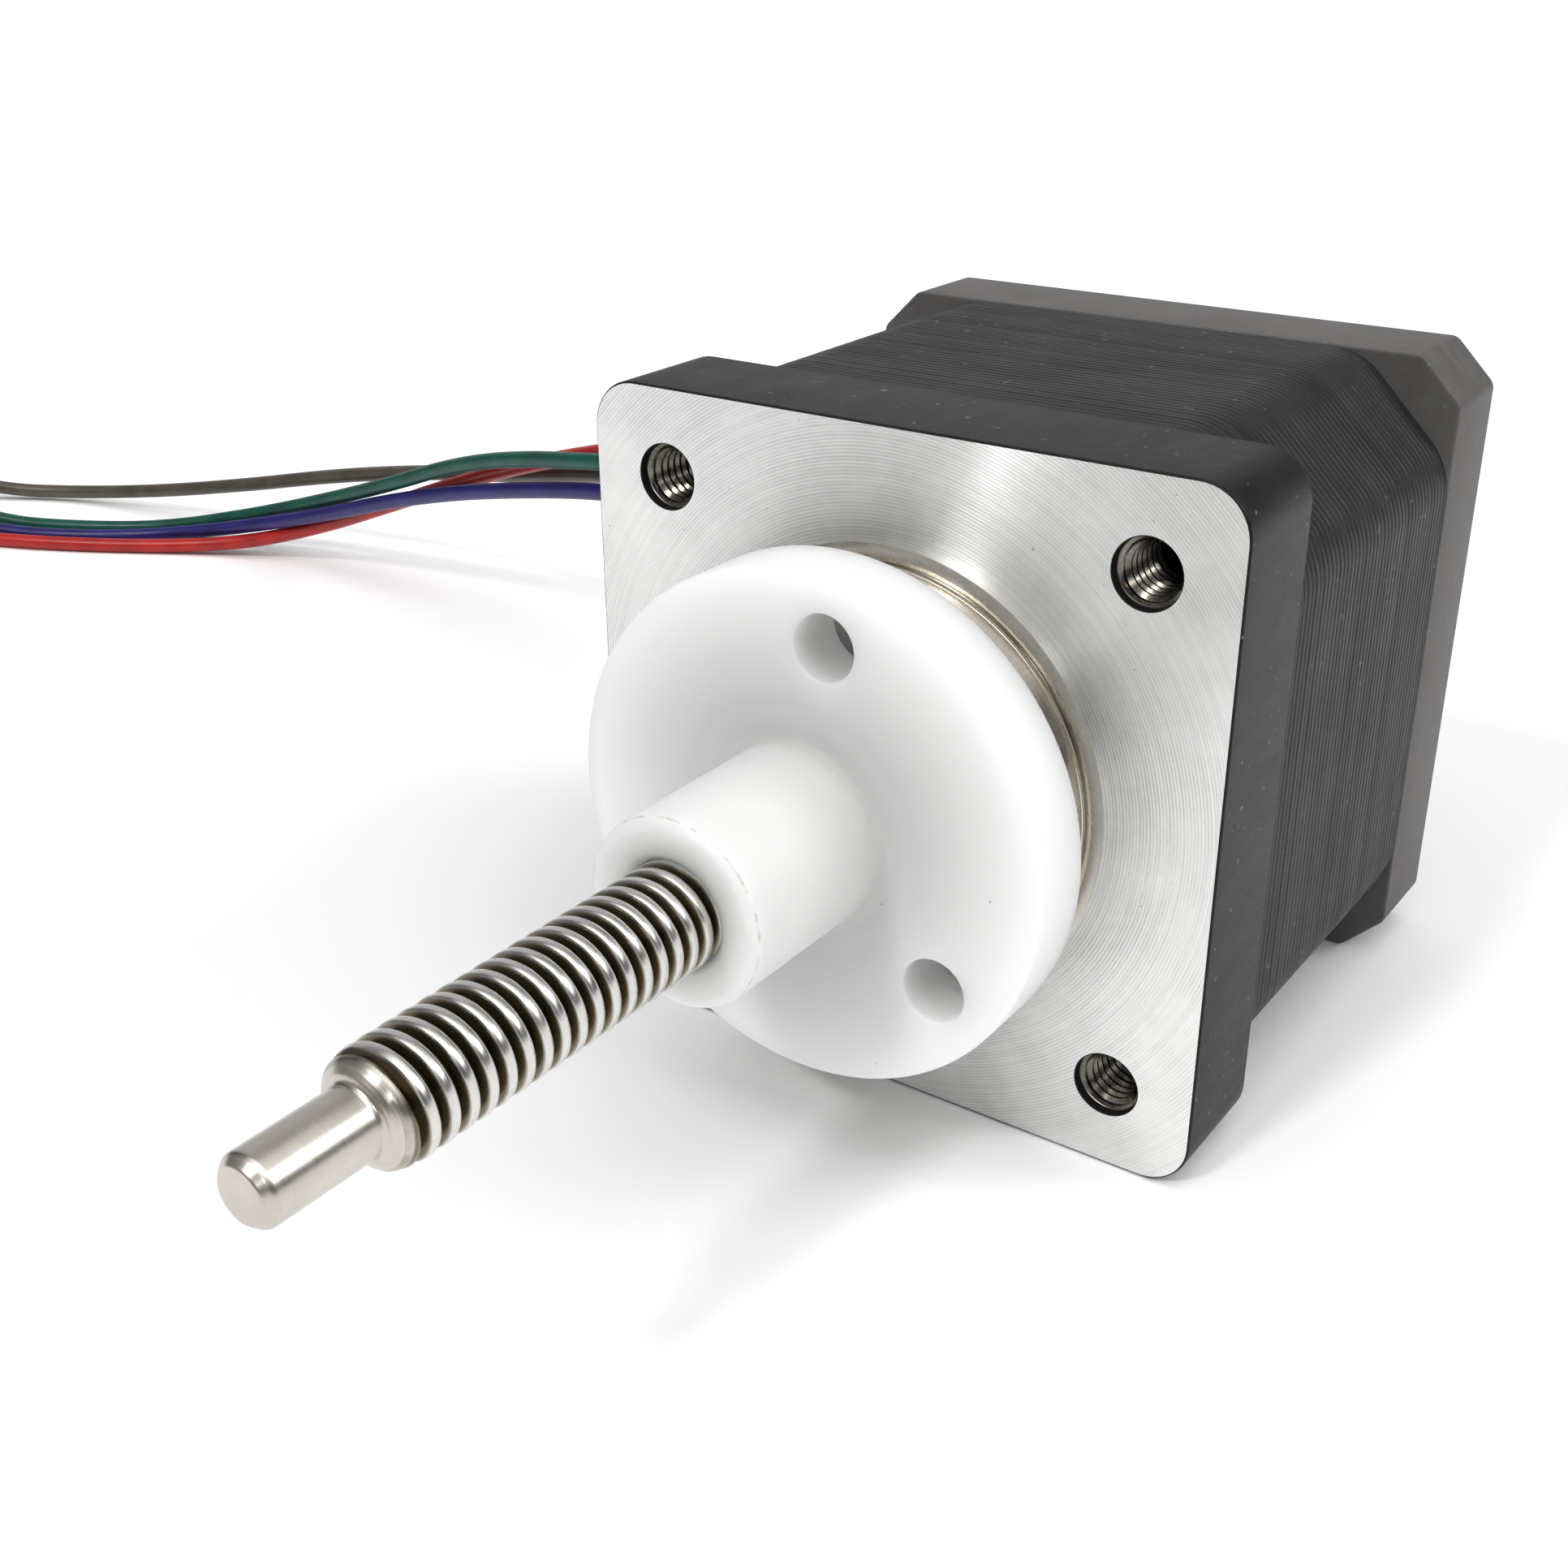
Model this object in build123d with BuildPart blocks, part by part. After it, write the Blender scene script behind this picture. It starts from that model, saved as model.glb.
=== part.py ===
from build123d import *
import math
import os

# Hybrid stepper motor, 35 mm square, with a 5 mm lead screw and a flanged plastic nut.
# X is right, Z is up, and the screw points along -Y. The origin is the centre of the
# front mounting face. All lengths are in millimetres.

# ---- driving dimensions ----
SIDE = 35.0  # width and height of the body
FRONT_LEN = 6.7  # front end cap
STACK_LEN = 20.4  # lamination stack
REAR_LEN = 5.9  # rear end cap
CAP_CORNER_R = 2.5  # rounded corners of the front cap
REAR_CHAMFER = 2.3  # corner chamfer of the rear cap
STACK_CHAMFER = 5.4  # corner chamfer of the laminations
STACK_BLEND_R = 4.0

BOSS_R = 11.0  # pilot boss, 22 mm across
BOSS_LEN = 2.0
BOSS_ROOT_R = 11.9  # raised ring at the foot of the boss
BOSS_ROOT_LEN = 0.15

HOLE_SPACING = 26.0  # M3 mounting holes, square pattern
MOUNT_HOLE_R = 1.5
MOUNT_HOLE_DEPTH = 4.5
CASE_SCREW_R = 1.25  # M2.5 screws through the corners of the stack
CASE_HOLE_R = 1.4
CASE_HEAD_R = 2.2
CASE_HEAD_LEN = 1.5
CASE_SINK_R = 2.45
CASE_SINK_DEPTH = 1.8
CASE_SOCKET_R = 0.85

SHAFT_R = 2.5  # shaft and major diameter of the Tr5 thread
JOURNAL_R = 1.5
THREAD_FRONT_Y = -34.7  # shoulder between the thread and the end journal
SCREW_TIP_Y = -40.0
SHOULDER_BEVEL = 1.1
TIP_BEVEL = 0.4

NUT_FLANGE_R = 12.7
NUT_FLANGE_BACK_Y = -3.65
NUT_FLANGE_LEN = 3.75
NUT_HUB_R = 4.5
NUT_FRONT_Y = -16.8
NUT_BORE_R = 2.56
NUT_HOLE_R = 1.6
NUT_HOLE_PCR = 9.525  # three flange holes on a 19.05 mm circle
NUT_HOLE_ANGLE = 81.7  # place of the first hole, from +X towards +Z

BEARING_R = 6.5  # 5 x 13 x 4 mm deep groove bearing
BEARING_LEN = 4.0
BALL_COUNT = 8
BALL_R = 0.95
BALL_PITCH_R = 4.5
RACE_R = 0.99
INNER_LAND_R = 3.85
OUTER_LAND_R = 5.15
SHIELD_R = 5.4
SHIELD_BORE_R = 4.05
SHIELD_LEN = 0.25
CAGE_R = (4.2, 4.8)

CAVITY_R = 15.2  # room for the coil ends in both caps
CAP_FLOOR = 2.9  # thickness of the front wall beside the boss
HUB_R = 8.3
SCREW_BORE_R = 4.0
FRONT_BEARING_Y = 0.6
REAR_BEARING_Y = 27.4
WASHER_LEN = 0.5
REAR_POCKET_Y = REAR_BEARING_Y + BEARING_LEN + WASHER_LEN

STATOR_BORE_R = 9.2
POLES = 8
POLE_W = 3.2
SHOE_R = 10.3
SHOE_HALF_DEG = 18.5
ROTOR_TEETH = 50
TOOTH_DEPTH = 0.4
TOOTH_GAP_W = 0.55
ROTOR_R = 9.0
CUP_LEN = 7.5
MAGNET_LEN = 1.6
MAGNET_R = 8.2
ROTOR_FRONT_Y = 8.6

BOBBIN_BASE = 0.6
BOBBIN_WALL = 1.3
BOBBIN_RIM_R = 14.45
COIL_R = (10.9, 13.85)  # from the axis, along the pole
COIL_HALF_W = (1.95, 3.75)
COIL_END = 1.4

BOARD_LEN = 0.6
BOARD_Y = 29.2
BOARD_R = (8.6, 14.9)
REAR_CAVITY_Y = 31.3  # floor of the rear cap's cavity

LEAD_D = 1.3
LEAD_PITCH = 1.6
LEAD_EXIT_Z = 3.5
LEAD_START_X = -13.2  # outer face of the terminal block, where the leads begin
BLOCK_SIZE = (1.6, 1.4, 6.6)
GROMMET_SIZE = (2.9, 4.6, 7.6)
COIL_OUTER_R = 10.6  # put-away coil of the four leads
COIL_INNER_R = 4.4
COIL_X = -134.0
COIL_Y = 13.5

# ---- places worked out from the sizes above ----
HALF = SIDE / 2
STACK_Y0 = FRONT_LEN
STACK_Y1 = FRONT_LEN + STACK_LEN
BODY_LEN = FRONT_LEN + STACK_LEN + REAR_LEN
NUT_FLANGE_FRONT_Y = NUT_FLANGE_BACK_Y - NUT_FLANGE_LEN
MAGNET_Y = ROTOR_FRONT_Y + CUP_LEN
REAR_CUP_Y = MAGNET_Y + MAGNET_LEN
ROTOR_REAR_Y = REAR_CUP_Y + CUP_LEN
TOOTH_PITCH_DEG = 360 / ROTOR_TEETH
GROMMET_X = -HALF - 0.6
FLOOR_Z = -HALF
LEAD_Y = BOARD_Y + BOARD_LEN + LEAD_D / 2

os.makedirs("parts", exist_ok=True)


def plane_at(y):
    """Plane facing -Y at that y. Its x is X, its y is Z, and a negative extrusion goes to +Y."""
    return Plane.XZ.offset(-y)


def save(piece, name):
    piece.label = name
    export_step(piece, f"parts/{name}.step")


def ring_profile(points):
    """Closed profile from (radius, y) points, ready to revolve about the Y axis."""
    with BuildSketch(Plane.XY) as profile:
        with BuildLine():
            Polyline(*points, close=True)
        make_face()
    return profile.sketch


# ---- front end cap: square plate with the pilot boss, bearing pocket and coil cavity ----
with BuildPart() as front_end_cap:
    with BuildSketch(plane_at(0)):
        RectangleRounded(SIDE, SIDE, CAP_CORNER_R)
    extrude(amount=-FRONT_LEN)
    chamfer(front_end_cap.faces().sort_by(Axis.Y)[0].edges(), 0.15)
    boss = ring_profile(
        [
            (0, -BOSS_LEN),
            (BOSS_R - 0.25, -BOSS_LEN),
            (BOSS_R, -BOSS_LEN + 0.25),
            (BOSS_R, -BOSS_ROOT_LEN - 0.3),
            (BOSS_R + 0.3, -BOSS_ROOT_LEN),
            (BOSS_ROOT_R - 0.1, -BOSS_ROOT_LEN),
            (BOSS_ROOT_R, 0),
            (BOSS_ROOT_R, 1),
            (0, 1),
        ]
    )
    revolve(boss, axis=Axis.Y)
    hollow = ring_profile(
        [
            (0, -BOSS_LEN - 1),
            (SCREW_BORE_R, -BOSS_LEN - 1),
            (SCREW_BORE_R, FRONT_BEARING_Y),
            (BEARING_R, FRONT_BEARING_Y),
            (BEARING_R, FRONT_BEARING_Y + BEARING_LEN + 0.4),
            (HUB_R, FRONT_BEARING_Y + BEARING_LEN + 0.4),
            (HUB_R, CAP_FLOOR),
            (CAVITY_R, CAP_FLOOR),
            (CAVITY_R, FRONT_LEN + 1),
            (0, FRONT_LEN + 1),
        ]
    )
    revolve(hollow, axis=Axis.Y, mode=Mode.SUBTRACT)
    with BuildSketch(plane_at(0)):
        with GridLocations(HOLE_SPACING, HOLE_SPACING, 2, 2):
            Circle(MOUNT_HOLE_R)
    extrude(amount=-MOUNT_HOLE_DEPTH, mode=Mode.SUBTRACT)
    with BuildSketch(plane_at(FRONT_LEN)):
        with GridLocations(HOLE_SPACING, HOLE_SPACING, 2, 2):
            Circle(CASE_SCREW_R)
    extrude(amount=FRONT_LEN - MOUNT_HOLE_DEPTH, mode=Mode.SUBTRACT)
save(front_end_cap.part, "front_end_cap")

# ---- rear end cap: chamfered corners, bearing pocket, screw counterbores and lead slot ----
with BuildPart() as rear_end_cap:
    with BuildSketch(plane_at(STACK_Y1)) as rear_outline:
        Rectangle(SIDE, SIDE)
        chamfer(rear_outline.vertices(), REAR_CHAMFER)
        fillet(rear_outline.vertices(), 0.8)
    extrude(amount=-REAR_LEN)
    chamfer(rear_end_cap.faces().sort_by(Axis.Y)[-1].edges(), 0.25)
    pocket = ring_profile(
        [
            (0, STACK_Y1 - 1),
            (CAVITY_R, STACK_Y1 - 1),
            (CAVITY_R, REAR_CAVITY_Y),
            (HUB_R, REAR_CAVITY_Y),
            (HUB_R, REAR_BEARING_Y),
            (BEARING_R, REAR_BEARING_Y),
            (BEARING_R, REAR_POCKET_Y),
            (0, REAR_POCKET_Y),
        ]
    )
    revolve(pocket, axis=Axis.Y, mode=Mode.SUBTRACT)
    with BuildSketch(plane_at(BODY_LEN)):
        with GridLocations(HOLE_SPACING, HOLE_SPACING, 2, 2):
            Circle(CASE_HOLE_R)
    extrude(amount=REAR_LEN, mode=Mode.SUBTRACT)
    with BuildSketch(plane_at(BODY_LEN)):
        with GridLocations(HOLE_SPACING, HOLE_SPACING, 2, 2):
            Circle(CASE_SINK_R)
    extrude(amount=CASE_SINK_DEPTH, mode=Mode.SUBTRACT)
    with Locations((LEAD_START_X - 4, STACK_Y1 + GROMMET_SIZE[1] / 2, LEAD_EXIT_Z)):
        Box(8, GROMMET_SIZE[1], GROMMET_SIZE[2], mode=Mode.SUBTRACT)
save(rear_end_cap.part, "rear_end_cap")

# ---- stator laminations: octagonal stack with eight toothed poles ----
with BuildPart() as stator_laminations:
    with BuildSketch(plane_at(STACK_Y0)) as stack_outline:
        Rectangle(SIDE, SIDE)
        chamfer(stack_outline.vertices(), STACK_CHAMFER)
        fillet(stack_outline.vertices(), STACK_BLEND_R)
        Circle(CAVITY_R, mode=Mode.SUBTRACT)
        with PolarLocations((SHOE_R + CAVITY_R) / 2, POLES):
            Rectangle(CAVITY_R - SHOE_R + 1, POLE_W)
        with BuildSketch(mode=Mode.PRIVATE) as shoe:
            with BuildLine():
                CenterArc((0, 0), SHOE_R, -SHOE_HALF_DEG, 2 * SHOE_HALF_DEG)
                CenterArc((0, 0), STATOR_BORE_R, -SHOE_HALF_DEG, 2 * SHOE_HALF_DEG)
                for side in (math.radians(-SHOE_HALF_DEG), math.radians(SHOE_HALF_DEG)):
                    Line(
                        (STATOR_BORE_R * math.cos(side), STATOR_BORE_R * math.sin(side)),
                        (SHOE_R * math.cos(side), SHOE_R * math.sin(side)),
                    )
            make_face()
        with PolarLocations(0, POLES):
            add(shoe.sketch)
        for notch in (-1.5, -0.5, 0.5, 1.5):
            with PolarLocations(STATOR_BORE_R, POLES, start_angle=notch * TOOTH_PITCH_DEG):
                Rectangle(2 * TOOTH_DEPTH, TOOTH_GAP_W, mode=Mode.SUBTRACT)
        with GridLocations(HOLE_SPACING, HOLE_SPACING, 2, 2):
            Circle(CASE_HOLE_R, mode=Mode.SUBTRACT)
    extrude(amount=-STACK_LEN)
save(stator_laminations.part, "stator_laminations")


# ---- stator bobbins: moulded insulators between each end of the stack and the coils ----
def bobbin(stack_face, outward):
    """Bobbin on a stack end face at that y, growing outward (-1 to the front, 1 to the rear)."""
    with BuildPart() as frame:
        with BuildSketch(plane_at(stack_face)):
            Circle(CAVITY_R - 0.15)
            Circle(BOBBIN_RIM_R, mode=Mode.SUBTRACT)
            with PolarLocations((SHOE_R + CAVITY_R - 0.3) / 2, POLES):
                Rectangle(CAVITY_R - SHOE_R - 0.3, POLE_W + 0.4)
            with PolarLocations(SHOE_R - 0.1, POLES):
                Rectangle(1.0, 5.6)
        extrude(amount=-outward * BOBBIN_BASE)
        with BuildSketch(plane_at(stack_face + outward * BOBBIN_BASE)):
            Circle(CAVITY_R - 0.15)
            Circle(BOBBIN_RIM_R, mode=Mode.SUBTRACT)
            with PolarLocations(SHOE_R - 0.1, POLES):
                Rectangle(1.0, 5.6)
        extrude(amount=-outward * BOBBIN_WALL)
    return frame.part


save(bobbin(STACK_Y0, -1), "front_bobbin")
save(bobbin(STACK_Y1, 1), "rear_bobbin")

# ---- phase windings: four coils each, on alternate poles ----
COIL_LEN = STACK_LEN + 2 * BOBBIN_BASE + 2 * COIL_END
COIL_MID_Y = (STACK_Y0 + STACK_Y1) / 2
for phase, first_pole_deg in (("a", 0), ("b", 360 / POLES)):
    with BuildPart(plane_at(COIL_MID_Y)) as coils:
        with PolarLocations(sum(COIL_R) / 2, POLES // 2, start_angle=first_pole_deg):
            Box(COIL_R[1] - COIL_R[0], 2 * COIL_HALF_W[1], COIL_LEN)
        fillet(coils.edges().filter_by(lambda edge: abs(edge.length - (COIL_R[1] - COIL_R[0])) < 0.01), 1.2)
        with PolarLocations(sum(COIL_R) / 2, POLES // 2, start_angle=first_pole_deg):
            Box(
                COIL_R[1] - COIL_R[0] + 1,
                2 * COIL_HALF_W[0],
                STACK_LEN + 2 * BOBBIN_BASE,
                mode=Mode.SUBTRACT,
            )
    save(coils.part, f"phase_{phase}_coils")


# ---- rotor: two toothed cups, half a tooth apart, with the magnet between them ----
def rotor_cup(y, turn_deg):
    with BuildPart() as cup:
        with BuildSketch(plane_at(y)):
            Circle(ROTOR_R)
            Circle(SHAFT_R, mode=Mode.SUBTRACT)
            with PolarLocations(ROTOR_R, ROTOR_TEETH, start_angle=turn_deg):
                Rectangle(2 * TOOTH_DEPTH, TOOTH_GAP_W, mode=Mode.SUBTRACT)
        extrude(amount=-CUP_LEN)
    return cup.part


save(rotor_cup(ROTOR_FRONT_Y, TOOTH_PITCH_DEG / 2), "rotor_cup_front")
save(rotor_cup(REAR_CUP_Y, 0), "rotor_cup_rear")


def sleeve(y, length, bore_r, outer_r):
    with BuildPart() as tube:
        with BuildSketch(plane_at(y)):
            Circle(outer_r)
            Circle(bore_r, mode=Mode.SUBTRACT)
        extrude(amount=-length)
    return tube.part


FRONT_SPACER_Y = FRONT_BEARING_Y + BEARING_LEN
save(sleeve(MAGNET_Y, MAGNET_LEN, SHAFT_R, MAGNET_R), "rotor_magnet")
save(sleeve(FRONT_SPACER_Y, ROTOR_FRONT_Y - FRONT_SPACER_Y, SHAFT_R, 3.6), "front_spacer")
save(sleeve(ROTOR_REAR_Y, REAR_BEARING_Y - ROTOR_REAR_Y, SHAFT_R, 3.6), "rear_spacer")

# ---- lead screw: end journal, threaded length at its major diameter, and rotor shaft ----
with BuildPart() as lead_screw:
    screw = ring_profile(
        [
            (0, SCREW_TIP_Y),
            (JOURNAL_R - TIP_BEVEL, SCREW_TIP_Y),
            (JOURNAL_R, SCREW_TIP_Y + TIP_BEVEL),
            (JOURNAL_R, THREAD_FRONT_Y - 0.2),
            (JOURNAL_R + 0.2, THREAD_FRONT_Y),
            (SHAFT_R - 0.55, THREAD_FRONT_Y),
            (SHAFT_R, THREAD_FRONT_Y + SHOULDER_BEVEL),
            (SHAFT_R, REAR_BEARING_Y + BEARING_LEN - 0.3),
            (SHAFT_R - 0.3, REAR_BEARING_Y + BEARING_LEN),
            (0, REAR_BEARING_Y + BEARING_LEN),
        ]
    )
    revolve(screw, axis=Axis.Y)
save(lead_screw.part, "lead_screw")


# ---- ball bearings: one at each end of the shaft ----
def bearing(name, y):
    """Rings, balls, cage and shields of a bearing whose front face is at that y."""
    mid = y + BEARING_LEN / 2
    shield_seat = BEARING_LEN / 2 - 2 * SHIELD_LEN
    with BuildPart() as outer_ring:
        land = ring_profile(
            [
                (SHIELD_R, y),
                (BEARING_R, y),
                (BEARING_R, y + BEARING_LEN),
                (SHIELD_R, y + BEARING_LEN),
                (SHIELD_R, mid + shield_seat),
                (OUTER_LAND_R, mid + shield_seat),
                (OUTER_LAND_R, mid - shield_seat),
                (SHIELD_R, mid - shield_seat),
            ]
        )
        revolve(land, axis=Axis.Y)
        with BuildSketch(Plane.XY):
            with Locations((BALL_PITCH_R, mid)):
                Circle(RACE_R)
        revolve(axis=Axis.Y, mode=Mode.SUBTRACT)
    save(outer_ring.part, f"{name}_bearing_outer_ring")

    with BuildPart() as inner_ring:
        hub = ring_profile(
            [
                (SHAFT_R, y),
                (INNER_LAND_R, y),
                (INNER_LAND_R, y + BEARING_LEN),
                (SHAFT_R, y + BEARING_LEN),
            ]
        )
        revolve(hub, axis=Axis.Y)
        with BuildSketch(Plane.XY):
            with Locations((BALL_PITCH_R, mid)):
                Circle(RACE_R)
        revolve(axis=Axis.Y, mode=Mode.SUBTRACT)
    save(inner_ring.part, f"{name}_bearing_inner_ring")

    with BuildPart(plane_at(mid)) as balls:
        with PolarLocations(BALL_PITCH_R, BALL_COUNT):
            Sphere(BALL_R)
    save(balls.part, f"{name}_bearing_balls")

    with BuildPart(plane_at(mid)) as cage:
        with BuildSketch(plane_at(mid + 0.7)):
            Circle(CAGE_R[1])
            Circle(CAGE_R[0], mode=Mode.SUBTRACT)
        extrude(amount=2.0)
        with PolarLocations(BALL_PITCH_R, BALL_COUNT):
            Sphere(BALL_R + 0.04, mode=Mode.SUBTRACT)
    save(cage.part, f"{name}_bearing_cage")

    with BuildPart() as shields:
        for seat in (mid - shield_seat, mid + shield_seat + SHIELD_LEN):
            with BuildSketch(plane_at(seat)):
                Circle(SHIELD_R)
                Circle(SHIELD_BORE_R, mode=Mode.SUBTRACT)
            extrude(amount=SHIELD_LEN)
    save(shields.part, f"{name}_bearing_shields")


bearing("front", FRONT_BEARING_Y)
bearing("rear", REAR_BEARING_Y)
save(
    sleeve(REAR_BEARING_Y + BEARING_LEN, WASHER_LEN, BEARING_R - 1.3, BEARING_R - 0.1),
    "wave_washer",
)

# ---- case screws: four M2.5 socket screws from the rear ----
HEAD_SEAT_Y = BODY_LEN - CASE_SINK_DEPTH
with BuildPart() as case_screws:
    with BuildSketch(plane_at(MOUNT_HOLE_DEPTH + 0.1)):
        with GridLocations(HOLE_SPACING, HOLE_SPACING, 2, 2):
            Circle(CASE_SCREW_R)
    extrude(amount=-(HEAD_SEAT_Y - MOUNT_HOLE_DEPTH - 0.1))
    with BuildSketch(plane_at(HEAD_SEAT_Y)):
        with GridLocations(HOLE_SPACING, HOLE_SPACING, 2, 2):
            Circle(CASE_HEAD_R)
    extrude(amount=-CASE_HEAD_LEN)
    with BuildSketch(plane_at(HEAD_SEAT_Y + CASE_HEAD_LEN)):
        with GridLocations(HOLE_SPACING, HOLE_SPACING, 2, 2):
            RegularPolygon(CASE_SOCKET_R, 6)
    extrude(amount=0.9, mode=Mode.SUBTRACT)
save(case_screws.part, "case_screws")

# ---- terminal board and its block, where the leads are joined to the windings ----
with BuildPart() as terminal_board:
    with BuildSketch(plane_at(BOARD_Y)):
        Circle(BOARD_R[1])
        Circle(BOARD_R[0], mode=Mode.SUBTRACT)
    extrude(amount=-BOARD_LEN)
save(terminal_board.part, "terminal_board")

BLOCK_Y = BOARD_Y + BOARD_LEN + BLOCK_SIZE[1] / 2
with BuildPart() as terminal_block:
    with Locations((LEAD_START_X + BLOCK_SIZE[0] / 2, BLOCK_Y, LEAD_EXIT_Z)):
        Box(*BLOCK_SIZE)
    chamfer(terminal_block.faces().sort_by(Axis.Y)[-1].edges(), 0.2)
save(terminal_block.part, "terminal_block")

# ---- lead grommet: insulating block in the slot of the rear cap, with four holes ----
LEAD_ORDER = ("red", "green", "black", "blue")  # from the top down
lead_z = {name: LEAD_EXIT_Z + LEAD_PITCH * (1.5 - place) for place, name in enumerate(LEAD_ORDER)}
with BuildPart() as lead_grommet:
    grommet_len = GROMMET_SIZE[0]
    with Locations((GROMMET_X + grommet_len / 2, STACK_Y1 + GROMMET_SIZE[1] / 2, LEAD_EXIT_Z)):
        Box(*GROMMET_SIZE)
    chamfer(lead_grommet.faces().sort_by(Axis.X)[0].edges(), 0.3)
    for z in lead_z.values():
        with Locations((GROMMET_X + grommet_len / 2, LEAD_Y, z)):
            Cylinder(LEAD_D / 2, grommet_len + 1, rotation=(0, 90, 0), mode=Mode.SUBTRACT)
save(lead_grommet.part, "lead_grommet")

# ---- leads: from the terminal block out through the grommet, down to the surface and away ----
LEAD_FLOOR_Z = FLOOR_Z + LEAD_D / 2
lead_routes = {
    "red": [
        (-24.0, 30.8, 5.6),
        (-35.5, 32.4, 4.0),
        (-46.9, 34.7, 1.1),
        (-57.4, 37.0, -2.2),
        (-67.2, 38.8, -5.8),
        (-77.4, 40.6, -9.9),
        (-86.8, 40.9, -13.6),
        (-95.4, 38.7, -16.2),
        (-102.9, 34.7, LEAD_FLOOR_Z),
        (-109.8, 30.6, LEAD_FLOOR_Z),
        (-117.5, 27.1, LEAD_FLOOR_Z),
        (-127.0, 24.0, LEAD_FLOOR_Z),
        (-135.5, 23.3, LEAD_FLOOR_Z),
    ],
    "green": [
        (-24.0, 30.5, 4.0),
        (-35.0, 31.4, 2.6),
        (-46.5, 33.0, 0.7),
        (-56.2, 35.0, -1.0),
        (-65.5, 37.0, -3.5),
        (-75.5, 38.9, -7.3),
        (-86.2, 40.6, -11.0),
        (-97.4, 41.2, -14.5),
        (-107.1, 38.2, -16.7),
        (-114.2, 34.0, LEAD_FLOOR_Z),
        (-122.6, 30.6, LEAD_FLOOR_Z),
        (-132.3, 27.5, -14.3),
        (-140.2, 21.2, -14.25),
    ],
    "black": [
        (-24.0, 31.1, 2.4),
        (-36.5, 33.3, 0.9),
        (-49.5, 36.4, -1.5),
        (-59.9, 38.8, -3.9),
        (-69.4, 40.8, -5.7),
        (-79.2, 42.4, -7.7),
        (-89.0, 43.4, -9.9),
        (-100.2, 43.8, -12.6),
        (-113.3, 43.2, -15.3),
        (-123.8, 40.8, -16.6),
        (-131.6, 36.7, -16.6),
        (-139.2, 29.3, -13.1),
        (-143.0, 17.5, -12.95),
    ],
    "blue": [
        (-24.0, 30.6, 0.9),
        (-35.0, 31.7, -0.2),
        (-46.8, 33.2, -1.6),
        (-56.6, 35.2, -3.7),
        (-65.7, 37.0, -5.9),
        (-75.4, 38.6, -8.7),
        (-85.2, 39.6, -11.9),
        (-95.7, 39.4, -14.8),
        (-105.4, 36.6, -16.7),
        (-111.7, 32.2, LEAD_FLOOR_Z),
        (-119.8, 28.6, LEAD_FLOOR_Z),
        (-129.6, 26.1, -15.7),
        (-138.0, 22.5, -15.55),
    ],
}


def bend_radii(route):
    """Largest arc at each inner point of the route that leaves straight parts of both its runs."""
    radii = []
    for before, here, after in zip(route, route[1:], route[2:]):
        arriving = Vector(here) - Vector(before)
        leaving = Vector(after) - Vector(here)
        turn = math.radians(arriving.get_angle(leaving))
        radii.append(0.45 * min(arriving.length, leaving.length) / math.tan(turn / 2))
    return radii


for name, points in lead_routes.items():
    route = [(LEAD_START_X, LEAD_Y, lead_z[name])] + points
    radii = bend_radii(route)
    with BuildPart() as lead:
        with BuildLine() as path:
            FilletPolyline(*route, radius=radii)
        with BuildSketch(path.line ^ 0):
            Circle(LEAD_D / 2)
        sweep()
    length = path.wires()[0].length
    print(
        f"lead_{name}: length {length:.1f}, volume {lead.part.volume:.2f}",
        f"of {math.pi * (LEAD_D / 2) ** 2 * length:.2f}, radii {[round(radius) for radius in radii]}",
    )
    save(lead.part, f"lead_{name}")

# ---- put-away coil of the four leads: one ring with the outer shape of the turns ----
LAYERS = len(LEAD_ORDER)
with BuildPart() as lead_coil:
    with BuildSketch(Plane.XY.offset(FLOOR_Z)):
        with Locations((COIL_X, COIL_Y)):
            Circle(COIL_OUTER_R)
            Circle(COIL_INNER_R, mode=Mode.SUBTRACT)
    extrude(amount=LAYERS * LEAD_D)
    fillet(lead_coil.edges().filter_by(GeomType.CIRCLE), 0.5)
save(lead_coil.part, "lead_coil")

# ---- flange nut: round flange with three holes and a slim hub around the screw ----
with BuildPart() as flange_nut:
    body = ring_profile(
        [
            (0, NUT_FRONT_Y),
            (NUT_HUB_R - 0.5, NUT_FRONT_Y),
            (NUT_HUB_R, NUT_FRONT_Y + 0.5),
            (NUT_HUB_R, NUT_FLANGE_FRONT_Y - 0.4),
            (NUT_HUB_R + 0.4, NUT_FLANGE_FRONT_Y),
            (NUT_FLANGE_R - 0.2, NUT_FLANGE_FRONT_Y),
            (NUT_FLANGE_R, NUT_FLANGE_FRONT_Y + 0.2),
            (NUT_FLANGE_R, NUT_FLANGE_BACK_Y - 0.2),
            (NUT_FLANGE_R - 0.2, NUT_FLANGE_BACK_Y),
            (0, NUT_FLANGE_BACK_Y),
        ]
    )
    revolve(body, axis=Axis.Y)
    with BuildSketch(plane_at(NUT_FLANGE_BACK_Y)):
        Circle(NUT_BORE_R)
        with PolarLocations(NUT_HOLE_PCR, 3, start_angle=NUT_HOLE_ANGLE):
            Circle(NUT_HOLE_R)
    extrude(amount=NUT_FLANGE_BACK_Y - NUT_FRONT_Y, mode=Mode.SUBTRACT)
save(flange_nut.part, "flange_nut")
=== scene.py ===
import math
import random

import bmesh
import bpy
from mathutils import Matrix, Vector
from mathutils.geometry import tessellate_polygon


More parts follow.
